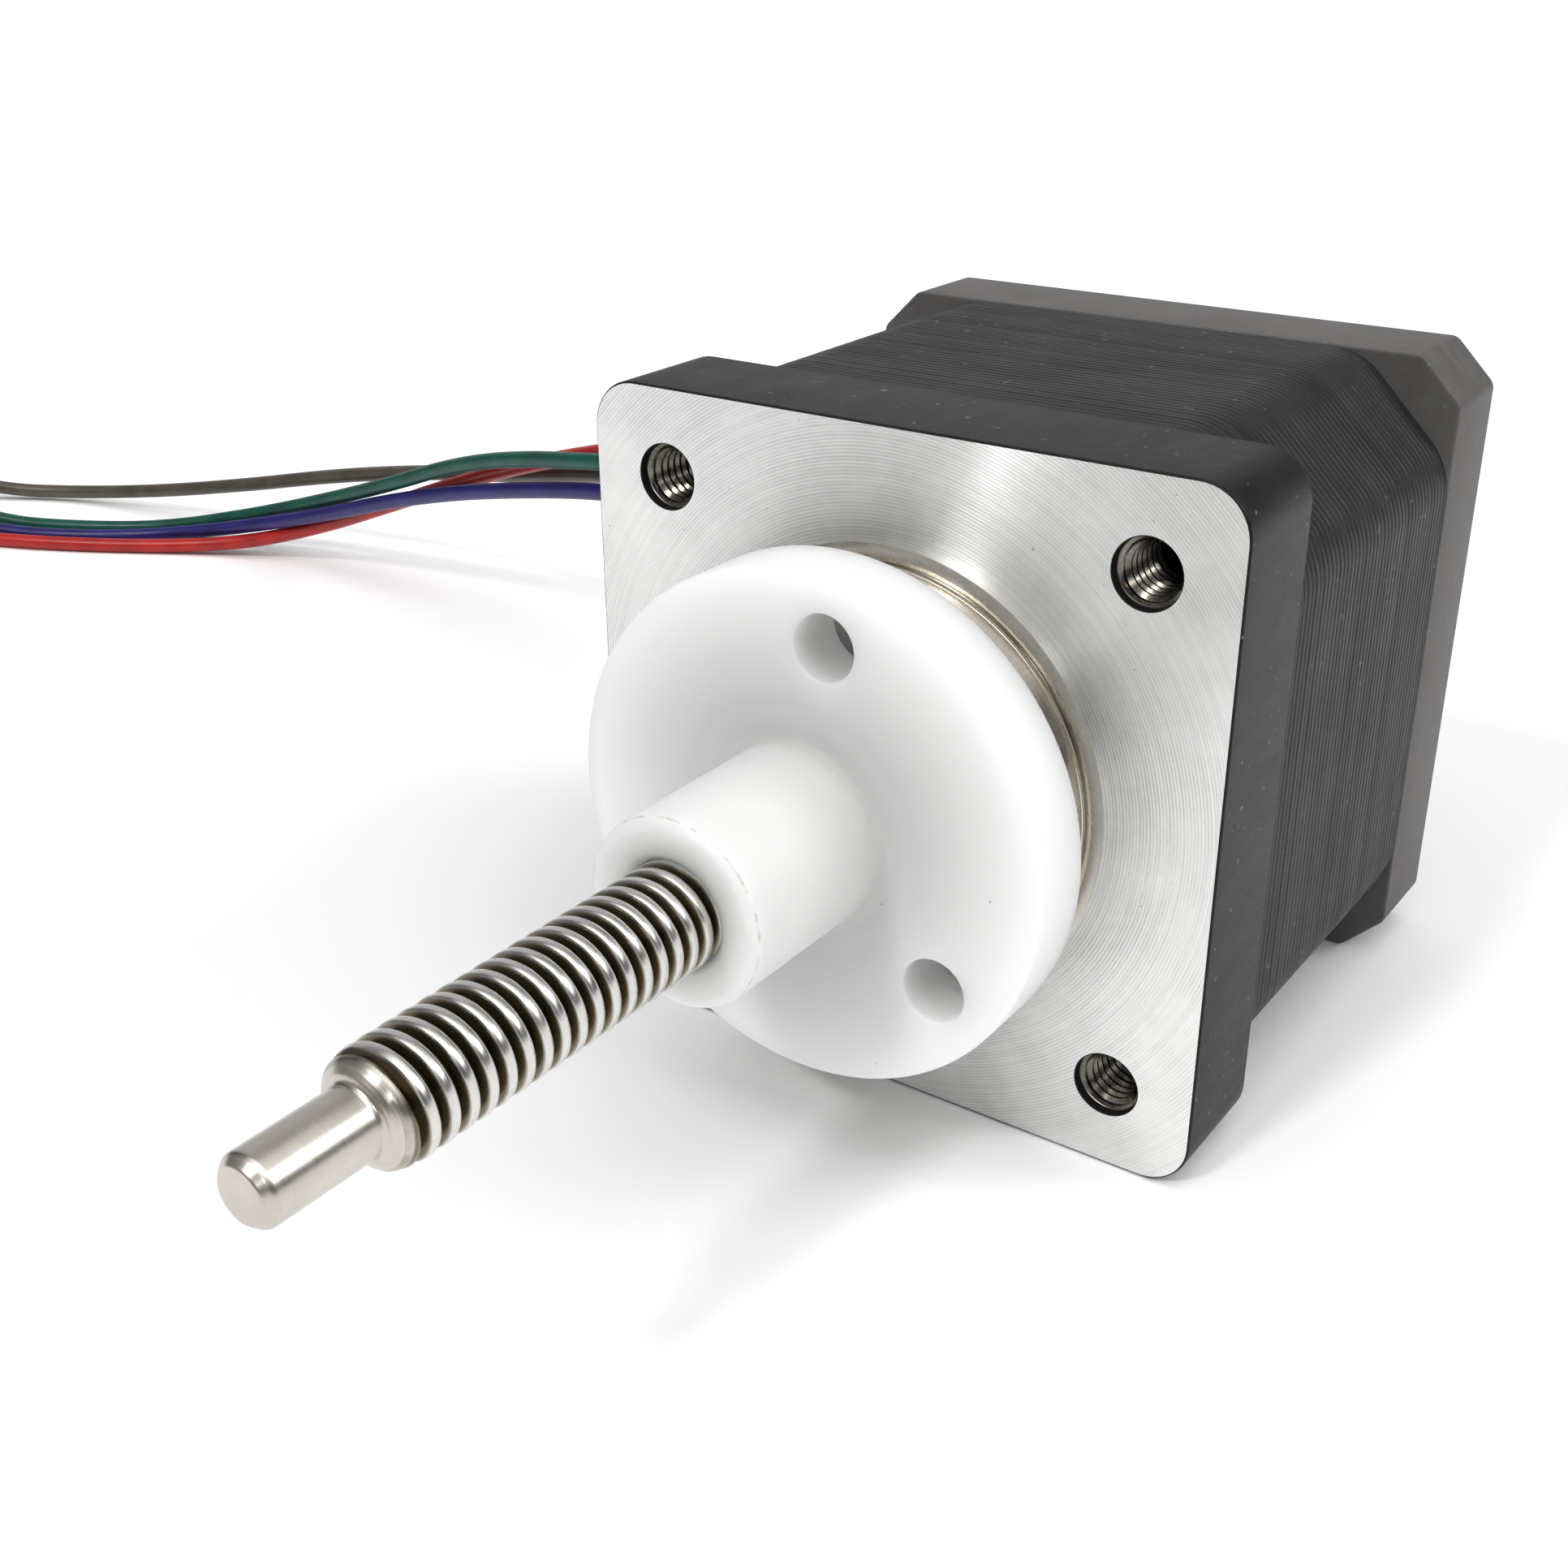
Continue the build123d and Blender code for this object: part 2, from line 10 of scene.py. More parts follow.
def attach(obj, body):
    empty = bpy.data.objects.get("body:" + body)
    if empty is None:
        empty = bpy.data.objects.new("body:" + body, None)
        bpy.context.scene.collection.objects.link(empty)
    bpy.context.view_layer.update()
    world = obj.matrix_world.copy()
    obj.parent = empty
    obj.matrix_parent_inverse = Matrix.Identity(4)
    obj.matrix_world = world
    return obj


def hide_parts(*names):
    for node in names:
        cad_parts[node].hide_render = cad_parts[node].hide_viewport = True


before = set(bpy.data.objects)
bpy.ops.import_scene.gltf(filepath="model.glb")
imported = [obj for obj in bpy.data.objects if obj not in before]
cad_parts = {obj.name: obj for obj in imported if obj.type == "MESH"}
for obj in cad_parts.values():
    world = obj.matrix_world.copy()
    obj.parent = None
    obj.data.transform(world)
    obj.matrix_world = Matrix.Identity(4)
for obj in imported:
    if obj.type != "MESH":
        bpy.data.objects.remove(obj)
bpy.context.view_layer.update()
MM = 0.001  # every length below is in millimetres, and is scaled by this where it enters Blender

# ---- sizes of the CAD model that the detailed pieces repeat. The axis is Y, and the machined face is at y = 0 ----
HALF = 17.5  # half the motor's width
FRONT_LEN = 6.7
STACK_REAR_Y = 27.1
BODY_LEN = 33.0
CAP_CORNER_R = 2.5
HOLE_X = 13.0  # of the mounting holes and the case screws behind them
HOLE_DEPTH = 4.5
BOSS_R = 11.0
BOSS_LEN = 2.0
BOSS_ROOT_R = 11.9  # outside of the turned ring round the boss
SCREW_BORE_R = 4.0
CAVITY_R = 15.2
SEAT_WALL_R = 8.3
BEARING_R = 6.5
CASE_SCREW_R = 1.25
CASE_HOLE_R = 1.4
SHEETS = 41
SHEET = 20.4 / SHEETS  # thickness of one lamination

ROUND = 192  # segments of a large circle
SCREW_ROUND = 96
SMALL_ROUND = 64
SHARP_DEG = 28.0  # edges sharper than this are shaded as sharp


# ---- mesh helpers ----
def add_object(name, data):
    thing = bpy.data.objects.new(name, data)
    bpy.context.scene.collection.objects.link(thing)
    return thing


def shade(mesh):
    mesh.polygons.foreach_set("use_smooth", [True] * len(mesh.polygons))
    mesh.set_sharp_from_angle(angle=math.radians(SHARP_DEG))


class Patches:
    """Surface patches in millimetres, stitched into one mesh where their points meet."""

    def __init__(self):
        self.points, self.faces, self.slots = [], [], []

    def loop(self, points):
        start = len(self.points)
        self.points.extend(points)
        return list(range(start, start + len(points)))

    def loft(self, loops, slot=0):
        """Quads between closed loops of the same number of points. slot may be one number for each strip."""
        rows = [self.loop(points) for points in loops]
        slots = slot if isinstance(slot, list) else [slot] * (len(rows) - 1)
        for a, b, s in zip(rows, rows[1:], slots):
            for i in range(len(a)):
                j = (i + 1) % len(a)
                self.faces.append((a[i], a[j], b[j], b[i]))
                self.slots.append(s)

    def fill(self, loops, slot=0):
        """Flat face bounded by the first loop, with the other loops as holes in it."""
        indices = [i for points in loops for i in self.loop(points)]
        for triangle in tessellate_polygon([[Vector(p) for p in points] for points in loops]):
            self.faces.append(tuple(indices[i] for i in triangle))
            self.slots.append(slot)

    def thread(self, x, z, y0, y1, pitch, profile, radius, n, slot=0, turn=0.0):
        """Right-hand thread between two plain rings. profile has (share of the pitch, radius) points, and
        radius(y, r) is what is left of a radius there, which makes both ends plain rings."""
        k = len(profile)
        turns = int((y1 - y0) / pitch) + 4
        start = len(self.points)
        for row in range(turns * k + 1):
            share, profile_r = profile[row % k]
            for i in range(n):
                y = y0 + (row // k - 1.5 + share + turn - i / n) * pitch
                y = min(max(y, y0), y1)
                r, t = radius(y, profile_r), 2 * math.pi * i / n
                self.points.append((x + r * math.cos(t), y, z + r * math.sin(t)))
        for row in range(turns * k):
            for i in range(n):
                a, b = row * n + i, (row + 1) * n + i
                if i < n - 1:
                    quad = (a, a + 1, b + 1, b)
                elif row >= k:
                    quad = (a, (row - k) * n, (row - k + 1) * n, b)
                else:
                    continue
                spots = {tuple(round(c, 4) for c in self.points[start + v]) for v in quad}
                if len(spots) > 2:
                    self.faces.append(tuple(start + v for v in quad))
                    self.slots.append(slot)

    def build(self, name, body, materials, replaces=()):
        mesh = bpy.data.meshes.new(name)
        mesh.from_pydata([Vector(p) * MM for p in self.points], [], self.faces)
        for material in materials:
            mesh.materials.append(material)
        mesh.polygons.foreach_set("material_index", self.slots)
        bm = bmesh.new()
        bm.from_mesh(mesh)
        bmesh.ops.remove_doubles(bm, verts=bm.verts, dist=1.5e-6)
        bmesh.ops.dissolve_degenerate(bm, edges=bm.edges, dist=1e-7)
        bmesh.ops.recalc_face_normals(bm, faces=bm.faces)
        bm.to_mesh(mesh)
        bm.free()
        shade(mesh)
        piece = add_object(name, mesh)
        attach(piece, body)
        if replaces:
            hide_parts(*replaces)
        return piece


def circle(r, y, x=0.0, z=0.0, n=ROUND):
    turns = (2 * math.pi * i / n for i in range(n))
    return [(x + r * math.cos(t), y, z + r * math.sin(t)) for t in turns]


def rings(profile, x=0.0, z=0.0, n=ROUND):
    """Loops of a solid of revolution about an axis along Y, from (radius, y) points."""
    return [circle(r, y, x, z, n) for r, y in profile]


def held(profile, gap=0.03):
    """The profile with an extra point close to both ends of each long step, so that shading stays even along it."""
    points = [profile[0]]
    for (a, b), (c, d) in zip(profile, profile[1:]):
        length = math.hypot(c - a, d - b)
        if length > 5 * gap:
            t = gap / length
            points += [(a + (c - a) * t, b + (d - b) * t), (c + (a - c) * t, d + (b - d) * t)]
        points.append((c, d))
    return points


def rounded(corners, radius, steps):
    """Outline with each corner of a convex polygon replaced by an arc. Corners run anticlockwise."""
    beside_arc = 0.04  # a support point on the straight side, this far from each end of an arc
    outline = []
    for i, corner in enumerate(corners):
        corner = Vector(corner)
        before = (Vector(corners[i - 1]) - corner).normalized()
        after = (Vector(corners[(i + 1) % len(corners)]) - corner).normalized()
        half_angle = before.angle(after) / 2
        centre = corner + (before + after).normalized() * (radius / math.sin(half_angle))
        first = corner + before * radius / math.tan(half_angle) - centre
        start, sweep = math.atan2(first.y, first.x), math.pi - 2 * half_angle
        arc = []
        for k in range(steps + 1):
            t = start + sweep * k / steps
            arc.append(Vector((centre.x + radius * math.cos(t), centre.y + radius * math.sin(t))))
        arc = [arc[0] + before * beside_arc] + arc + [arc[-1] + after * beside_arc]
        outline += [tuple(p) for p in arc]
    return outline


def square_outline(inset, radius=CAP_CORNER_R, steps=12):
    h = HALF - inset
    return rounded([(h, -h), (h, h), (-h, h), (-h, -h)], max(radius - inset, 0.03), steps)


def octagon_outline(half, leg, blend, inset, steps=8):
    """Square with its corners cut off by leg, and each of the eight edges rounded by blend."""
    h = half - inset
    c = h - (leg - inset * (2 - math.sqrt(2)))
    corners = [(h, -c), (h, c), (c, h), (-c, h), (-h, c), (-h, -c), (-c, -h), (c, -h)]
    return rounded(corners, max(blend - inset, 0.03), steps)


def at(outline, y):
    return [(x, y, z) for x, z in outline]


def edge_round(size, steps=3):
    """(inset, depth) steps of a rounded edge, from a flat face to the wall beside it, after a support loop."""
    arc = [math.pi / 2 * k / steps for k in range(steps + 1)]
    return [(size * 1.4, 0.0)] + [(size * (1 - math.sin(a)), size * (1 - math.cos(a))) for a in arc]


# ---- material helpers ----
class Nodes:
    """A node tree. add() makes a node, sets its inputs from values or from other nodes' outputs, and returns it."""

    def __init__(self, tree):
        self.tree = tree

    def add(self, kind, inputs=None, **settings):
        node = self.tree.nodes.new("ShaderNode" + kind)
        for key, value in settings.items():
            setattr(node, key, value)
        for key, value in (inputs or {}).items():
            self.feed(node.inputs[key], value)
        return node

    def feed(self, socket, value):
        if isinstance(value, bpy.types.NodeSocket):
            self.tree.links.new(value, socket)
        else:
            socket.default_value = value

    def math(self, operation, a, b=0.0):
        return self.add("Math", {0: a, 1: b}, operation=operation).outputs[0]

    def weighted(self, share, a, b):
        """That share of a, and the rest of b."""
        return self.math("ADD", self.math("MULTIPLY", a, share), self.math("MULTIPLY", b, 1 - share))

    def range(self, value, low, high, to_low, to_high):
        inputs = {"Value": value, "From Min": low, "From Max": high, "To Min": to_low, "To Max": to_high}
        return self.add("MapRange", inputs).outputs[0]

    def ramp(self, value, *stops):
        """Colour ramp from (position, colour) stops. A colour may be a single grey."""
        node = self.add("ValToRGB", {"Fac": value})
        elements = node.color_ramp.elements
        while len(elements) < len(stops):
            elements.new(0.5)
        for element, (position, colour) in zip(elements, stops):
            grey = not hasattr(colour, "__len__")
            element.position = position
            element.color = (*((colour,) * 3 if grey else colour), 1.0)
        return node.outputs["Color"]

    def mix(self, share, a, b, blend="MIX"):
        node = self.add("Mix", data_type="RGBA", blend_type=blend)
        self.feed(node.inputs["Factor"], share)
        for socket, value in ((node.inputs[6], a), (node.inputs[7], b)):
            self.feed(socket, (*value, 1.0) if isinstance(value, tuple) else value)
        return node.outputs[2]

    def shaded(self, tone, share, value, *stops):
        """The tone, darkened by that share where the ramp of the value is dark."""
        return self.mix(share, tone, self.ramp(value, *stops), "MULTIPLY")


class Shader(Nodes):
    """A node material, placed by object coordinates."""

    def __init__(self, name):
        self.material = bpy.data.materials.new(name)
        self.material.use_nodes = True
        super().__init__(self.material.node_tree)

    def surface(self, **inputs):
        """Sets the inputs of the material's own shader, and returns the material."""
        sockets = self.tree.nodes["Principled BSDF"].inputs
        for key, value in inputs.items():
            self.feed(sockets[key.replace("_", " ")], value)
        return self.material

    def place(self):
        return self.add("TexCoord").outputs["Object"]

    def along(self):
        """Place along the motor's axis, in metres."""
        return self.add("SeparateXYZ", {"Vector": self.place()}).outputs["Y"]

    def radius(self):
        """Distance from the motor's axis, in metres."""
        flat = self.add("VectorMath", {0: self.place(), 1: (1, 0, 1)}, operation="MULTIPLY").outputs[0]
        return self.add("VectorMath", {0: flat}, operation="LENGTH").outputs["Value"]

    def noise(self, scale, detail=3.0, rough=0.5, at=None):
        inputs = {"Scale": scale, "Detail": detail, "Roughness": rough}
        inputs["Vector"] = self.place() if at is None else at
        return self.add("TexNoise", inputs).outputs["Fac"]

    def drawn_noise(self, scales, detail=4.0, rough=0.65):
        """Noise that is scaled differently along each axis, for marks that are drawn out."""
        place = self.add("Mapping", {"Vector": self.place(), "Scale": scales}).outputs[0]
        return self.noise(1.0, detail, rough, at=place)

    def line_noise(self, along, size, detail=4.0, rough=0.6):
        """Noise along one length in metres, with features of about that size in millimetres."""
        inputs = {"W": self.math("MULTIPLY", along, 1 / (size * MM)), "Scale": 1.0}
        inputs.update({"Detail": detail, "Roughness": rough})
        return self.add("TexNoise", inputs, noise_dimensions="1D").outputs[0]

    def bump(self, height, distance, after=None):
        """Bump of that height in millimetres."""
        inputs = {"Height": height, "Distance": distance * MM, "Strength": 1.0}
        if after is not None:
            inputs["Normal"] = after
        return self.add("Bump", inputs).outputs[0]


# ---- materials ----
def machined_aluminium():
    """Faced on a lathe: fine rings of one feed each, broken up by grain, with pale blotches and a few dark pits."""
    s = Shader("machined_aluminium")
    feed_step, wobble_width = 0.165, 0.10
    r = s.radius()
    wobble = s.math("MULTIPLY", s.math("SUBTRACT", s.noise(90, 2.0), 0.5), wobble_width * MM)
    feed = s.math("SINE", s.math("MULTIPLY", s.math("ADD", r, wobble), 2 * math.pi / (feed_step * MM)))
    worn = s.ramp(s.noise(150, 3.0, 0.6), (0.38, 0.25), (0.62, 1.0))
    lines = s.math("MULTIPLY", s.range(feed, -1, 1, 0, 1), worn)
    wander = s.line_noise(r, 0.35, 5.0, 0.75)
    grain = s.noise(5200, 2.0, 0.6)
    blotch = s.noise(420, 5.0, 0.62)
    tone = s.ramp(blotch, (0.30, (0.88, 0.88, 0.87)), (0.52, (0.94, 0.94, 0.93)), (0.75, (0.99, 0.99, 0.98)))
    tone = s.shaded(tone, 0.55, s.noise(70, 2.0), (0.35, 0.93), (0.65, 1.0))
    tone = s.shaded(tone, 0.14, wander, (0.35, 0.5), (0.60, 1.0))
    tone = s.shaded(tone, 0.40, lines, (0.0, 1.0), (0.75, 0.55))
    tone = s.shaded(tone, 0.7, s.noise(3100, 1.0, 0.4), (0.200, 0.35), (0.222, 1.0))
    rough = s.range(s.weighted(0.6, blotch, grain), 0.3, 0.7, 0.30, 0.40)
    rough_near_boss = s.range(r, 14.5 * MM, 12.0 * MM, 0.0, 0.05)
    return s.surface(
        Base_Color=tone,
        Metallic=1.0,
        Roughness=s.math("ADD", rough, rough_near_boss),
        Anisotropic=0.96,
        Anisotropic_Rotation=0.25,
        Tangent=s.add("Tangent", direction_type="RADIAL", axis="Y").outputs[0],
        Normal=s.bump(grain, 0.004, after=s.bump(s.math("ADD", lines, wander), 0.007)),
    )


def boss_aluminium():
    """The boss wall and the turned ring at its root, with painted shade as a dark line at the wall's foot, a painted
    highlight as a bright line on the ring, and a darker brownish band outside it.
    """
    s = Shader("boss_aluminium")
    r = s.radius()
    tone = s.ramp(
        s.range(r, 10.9 * MM, 12.0 * MM, 0.0, 1.0),
        (0.0, (0.84, 0.82, 0.79)),  # the wall
        (0.085, (0.78, 0.75, 0.70)),
        (0.11, (0.14, 0.12, 0.10)),  # painted shade: the dark line at its foot
        (0.155, (0.22, 0.195, 0.16)),
        (0.19, (0.90, 0.86, 0.74)),  # the ring, with a painted highlight along it
        (0.34, (0.80, 0.74, 0.62)),
        (0.42, (0.60, 0.565, 0.52)),
        (0.86, (0.55, 0.52, 0.48)),
        (0.93, (0.85, 0.84, 0.82)),
    )
    # the wall is all at one radius, where the lines would turn into cracks
    wander = s.line_noise(s.math("MAXIMUM", r, (BOSS_R + 0.02) * MM), 0.12)
    return s.surface(
        Base_Color=s.shaded(tone, 0.25, s.noise(300, 4.0, 0.6), (0.3, 0.72), (0.7, 1.0)),
        Metallic=1.0,
        Roughness=s.range(s.noise(900), 0.3, 0.7, 0.20, 0.32),
        Normal=s.bump(wander, 0.002),
    )


def satin_paint(name, low, high, rough, streak_scales, dust=0.5):
    """Satin dark paint on the castings: soft mottling, faint streaks and dust."""
    s = Shader(name)
    cloud = s.noise(260, 4.0, 0.6)
    streaks = s.drawn_noise(streak_scales)
    grain = s.noise(6500, 2.0, 0.6)
    tone = s.ramp(s.weighted(0.5, cloud, streaks), (0.36, low), (0.64, high))
    dusty = s.ramp(s.noise(2300, 1.0, 0.4), (0.735, 0.0), (0.77, dust))
    return s.surface(
        Base_Color=s.mix(dusty, tone, (0.30, 0.30, 0.29)),
        Specular_IOR_Level=0.20,
        Roughness=s.range(s.weighted(0.6, streaks, grain), 0.3, 0.7, rough - 0.06, rough + 0.07),
        Normal=s.bump(grain, 0.006, after=s.bump(streaks, 0.008)),
    )


def lamination_steel():
    """Painted edges of the sheets, each a little lighter or darker than the next, with dust."""
    s = Shader("lamination_steel")
    sheet = s.math("FLOOR", s.math("MULTIPLY", s.along(), 1 / (SHEET * MM)))
    shade_of_sheet = s.add("TexWhiteNoise", {"W": sheet}, noise_dimensions="1D").outputs["Value"]
    streaks = s.drawn_noise((500, 5200, 500), 3.0, 0.6)
    tone = s.ramp(s.noise(180, 4.0, 0.6), (0.35, (0.0295, 0.030, 0.030)), (0.68, (0.047, 0.048, 0.048)))
    tone = s.shaded(tone, 0.35, shade_of_sheet, (0.0, 0.75), (1.0, 1.25))
    dusty = s.ramp(s.noise(2100, 1.0, 0.4), (0.745, 0.0), (0.78, 0.35))
    return s.surface(
        Base_Color=s.mix(dusty, tone, (0.28, 0.27, 0.26)),
        Specular_IOR_Level=0.20,
        Roughness=s.range(s.weighted(0.5, streaks, shade_of_sheet), 0.2, 0.8, 0.34, 0.50),
        Normal=s.bump(streaks, 0.006),
    )


def acetal():
    """White acetal that lets light through, with painted light whiter towards the flange's rim and on the hub,
    painted shade on the flange round the hub, specks, and a line of grime on the hub's front edge."""
    s = Shader("white_acetal")
    grain = s.noise(4200, 3.0, 0.6)
    r = s.radius()
    tone = s.ramp(s.noise(120), (0.35, (0.63, 0.637, 0.630)), (0.7, (0.66, 0.666, 0.658)))
    # painted light: whiter towards the flange's rim, leaving painted shade on the flange round the hub
    tone = s.mix(s.range(r, 6.5 * MM, 12.0 * MM, 0.0, 1.0), tone, (0.85, 0.855, 0.845))
    # painted light: a brighter hub
    tone = s.mix(s.range(r, 5.2 * MM, 4.4 * MM, 0.0, 1.0), tone, (0.755, 0.763, 0.750))
    tone = s.shaded(tone, 0.85, s.noise(1600, 1.5), (0.190, 0.42), (0.210, 1.0))
    edge = s.ramp(
        s.range(r, 4.1 * MM, 4.5 * MM, 0.0, 1.0), (0.76, 0.0), (0.86, 1.0), (0.93, 1.0), (0.99, 0.0)
    )
    edge = s.math("MULTIPLY", edge, s.range(s.along(), -16.3 * MM, -16.5 * MM, 0.0, 0.50))
    grime = s.ramp(s.noise(1300, 4.0, 0.7), (0.46, 0.0), (0.64, 1.0))
    return s.surface(
        Base_Color=s.mix(s.math("MULTIPLY", edge, grime), tone, (0.24, 0.21, 0.17)),
        Roughness=s.range(grain, 0.3, 0.7, 0.42, 0.54),
        Subsurface_Weight=1.0,
        Subsurface_Radius=(1.0, 1.0, 1.0),
        Subsurface_Scale=3.8 * MM,
        Normal=s.bump(grain, 0.003),
    )


def threaded_steel():
    """Rolled stainless thread: bright crests, and roots painted dark warm brown as shade."""
    s = Shader("threaded_steel")
    bevel = s.range(s.along(), -33.7 * MM, -34.2 * MM, 0.0, 0.88)  # bright, kept out of the painted root shade, whatever its radius
    height = s.math("MAXIMUM", s.range(s.radius(), 1.95 * MM, 2.5 * MM, 0.0, 1.0), bevel)
    uneven = s.math("MULTIPLY", s.math("SUBTRACT", s.noise(900, 4.0, 0.6), 0.5), 0.12)
    # painted shade: the lower the surface, the darker and browner
    tone = s.ramp(
        s.math("ADD", height, uneven),
        (0.0, (0.18, 0.152, 0.100)),
        (0.70, (0.205, 0.177, 0.126)),
        (0.86, (0.43, 0.405, 0.36)),
        (0.94, (0.73, 0.715, 0.685)),
    )
    scuffs = s.drawn_noise((700, 6000, 700))
    return s.surface(
        Base_Color=s.shaded(tone, 0.3, scuffs, (0.3, 0.7), (0.6, 1.0)),
        Metallic=1.0,
        Roughness=s.range(scuffs, 0.3, 0.7, 0.22, 0.34),
        Normal=s.bump(scuffs, 0.002),
    )


def turned_steel():
    """The screw's plain journal, with faint turning lines."""
    s = Shader("turned_stainless")
    lines = s.drawn_noise((250, 9000, 250), 4.0, 0.7)
    tone = s.ramp(s.noise(400, 3.0, 0.6), (0.3, (0.58, 0.545, 0.495)), (0.7, (0.67, 0.632, 0.58)))
    return s.surface(
        Base_Color=s.shaded(tone, 0.12, lines, (0.3, 0.7), (0.6, 1.0)),
        Metallic=1.0,
        Roughness=s.range(lines, 0.3, 0.7, 0.27, 0.33),
        Normal=s.bump(lines, 0.0004),
    )


def plain_metal(name, low, high, rough, turned=(250, 7000, 250), depth=0.002):
    """Machined steel parts: two close tones and fine turning lines round the motor's axis."""
    s = Shader(name)
    lines = s.drawn_noise(turned)
    return s.surface(
        Base_Color=s.ramp(s.weighted(0.5, lines, s.noise(500)), (0.35, low), (0.65, high)),
        Metallic=1.0,
        Roughness=s.range(lines, 0.3, 0.7, rough - 0.06, rough + 0.06),
        Normal=s.bump(lines, depth),
    )


def plain_plastic(name, low, high, rough):
    """Moulded plastic: two close tones and a fine grain."""
    s = Shader(name)
    grain = s.noise(3600, 3.0, 0.6)
    return s.surface(
        Base_Color=s.ramp(s.noise(300, 3.0, 0.55), (0.35, low), (0.65, high)),
        Roughness=s.range(grain, 0.3, 0.7, rough - 0.05, rough + 0.06),
        Normal=s.bump(grain, 0.006),
    )


def pvc(name, low, high):
    """Extruded lead insulation, with a slight gloss."""
    s = Shader(name)
    grain = s.noise(5200, 2.0)
    return s.surface(
        Base_Color=s.ramp(s.noise(380, 3.0, 0.55), (0.34, low), (0.66, high)),
        Roughness=s.range(grain, 0.3, 0.7, 0.34, 0.46),
        Coat_Weight=0.15,
        Coat_Roughness=0.3,
        Normal=s.bump(grain, 0.004),
    )


def copper_wire():
    """Enamelled wire laid side by side along the motor's axis and over the coil ends, with painted shade in the gaps
    between wires.
    """
    s = Shader("copper_winding")
    wire_step = 0.32
    across = s.math("MULTIPLY", s.radius(), 2 * math.pi / (wire_step * MM))
    wires = s.math("SINE", s.math("ADD", across, s.math("MULTIPLY", s.noise(260, 2.0), 3.0)))
    height = s.range(wires, -1, 1, 0, 1)
    return s.surface(
        # painted shade: darker down in the gaps between wires
        Base_Color=s.ramp(height, (0.0, (0.16, 0.05, 0.02)), (0.6, (0.66, 0.27, 0.11)), (1.0, (0.80, 0.38, 0.18))),
        Metallic=0.85,
        Roughness=s.range(s.noise(1800, 2.0), 0.3, 0.7, 0.24, 0.36),
        Coat_Weight=0.5,
        Coat_Roughness=0.15,
        Normal=s.bump(height, 0.06),
    )


MACHINED = machined_aluminium()
# the boss's material, with painted shade at the wall's foot and a painted highlight on the ring at its root
BOSS_WITH_PAINTED_LIGHT = boss_aluminium()
FRONT_PAINT = satin_paint(
    "front_cap_paint", (0.021, 0.0225, 0.022), (0.034, 0.036, 0.035), 0.42, (900, 350, 900)
)
# the front edge's bevel: the side paint made darker and browner, a painted dark reflection along the edge
DARKENED_EDGE_PAINT = satin_paint(
    "cap_edge_paint_and_painted_reflection", (0.016, 0.0145, 0.0125), (0.026, 0.0235, 0.020), 0.40, (900, 900, 900)
)
REAR_PAINT = satin_paint(
    "rear_cap_paint", (0.126, 0.122, 0.118), (0.164, 0.158, 0.153), 0.46, (420, 2600, 420), dust=0.3
)
FINE, EVEN = (5000, 5000, 5000), (4000, 4000, 4000)  # noise scales of metal without turning lines
LAMINATED = lamination_steel()
NUT = acetal()
THREADED = threaded_steel()
TURNED = turned_steel()
# painted shade: the tapped holes' metal is far darker and browner than the face's aluminium
TAPPED = plain_metal("tapped_hole", (0.095, 0.085, 0.068), (0.31, 0.29, 0.255), 0.24, FINE, 0.004)
# painted shade: near-black walls in the mouths of the mounting holes
HOLE_MOUTH_SHADE = plain_plastic("hole_mouth_painted_shade", (0.004, 0.004, 0.0035), (0.009, 0.008, 0.007), 0.7)
BLACK_OXIDE = plain_metal("black_oxide_steel", (0.030, 0.030, 0.032), (0.060, 0.060, 0.064), 0.36, EVEN)
GROMMET = plain_plastic("grommet_plastic", (0.020, 0.020, 0.021), (0.034, 0.034, 0.036), 0.48)
BARE_COPPER = plain_metal("tinned_copper", (0.55, 0.53, 0.50), (0.72, 0.70, 0.67), 0.30, EVEN)
LEAD_COLOURS = {
    "red": ((0.34, 0.012, 0.010), (0.45, 0.022, 0.018)),
    "green": ((0.003, 0.068, 0.048), (0.006, 0.105, 0.072)),
    "black": ((0.075, 0.066, 0.050), (0.115, 0.102, 0.080)),
    "blue": ((0.016, 0.012, 0.115), (0.026, 0.018, 0.170)),
}


# ---- CAD nodes inside the motor, which keep their meshes and get a material ----
def coat_nodes(material, *names):
    for name in names:
        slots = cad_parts[name].data.materials
        slots.clear()
        slots.append(material)


def bearing_nodes(*parts):
    return [f"{end}_bearing_{part}" for end in ("front", "rear") for part in parts]


coat_nodes(
    plain_metal("bearing_steel", (0.52, 0.52, 0.53), (0.66, 0.66, 0.67), 0.14),
    *bearing_nodes("outer_ring", "inner_ring", "balls"),
)
coat_nodes(
    plain_metal("pressed_steel", (0.40, 0.39, 0.36), (0.52, 0.50, 0.46), 0.30),
    *bearing_nodes("cage", "shields"),
    "wave_washer",
)
coat_nodes(
    plain_metal("rotor_steel", (0.28, 0.28, 0.29), (0.42, 0.42, 0.43), 0.32, (900, 14000, 900), 0.008),
    "rotor_cup_front",
    "rotor_cup_rear",
    "front_spacer",
    "rear_spacer",
)
coat_nodes(plain_metal("plated_magnet", (0.42, 0.41, 0.40), (0.55, 0.54, 0.52), 0.22), "rotor_magnet")
coat_nodes(
    plain_plastic("bobbin_nylon", (0.70, 0.67, 0.60), (0.80, 0.77, 0.70), 0.50), "front_bobbin", "rear_bobbin"
)
coat_nodes(plain_plastic("white_housing", (0.74, 0.73, 0.70), (0.82, 0.81, 0.78), 0.42), "terminal_block")
coat_nodes(plain_plastic("circuit_board", (0.010, 0.085, 0.030), (0.020, 0.130, 0.048), 0.38), "terminal_board")
coat_nodes(copper_wire(), "phase_a_coils", "phase_b_coils")

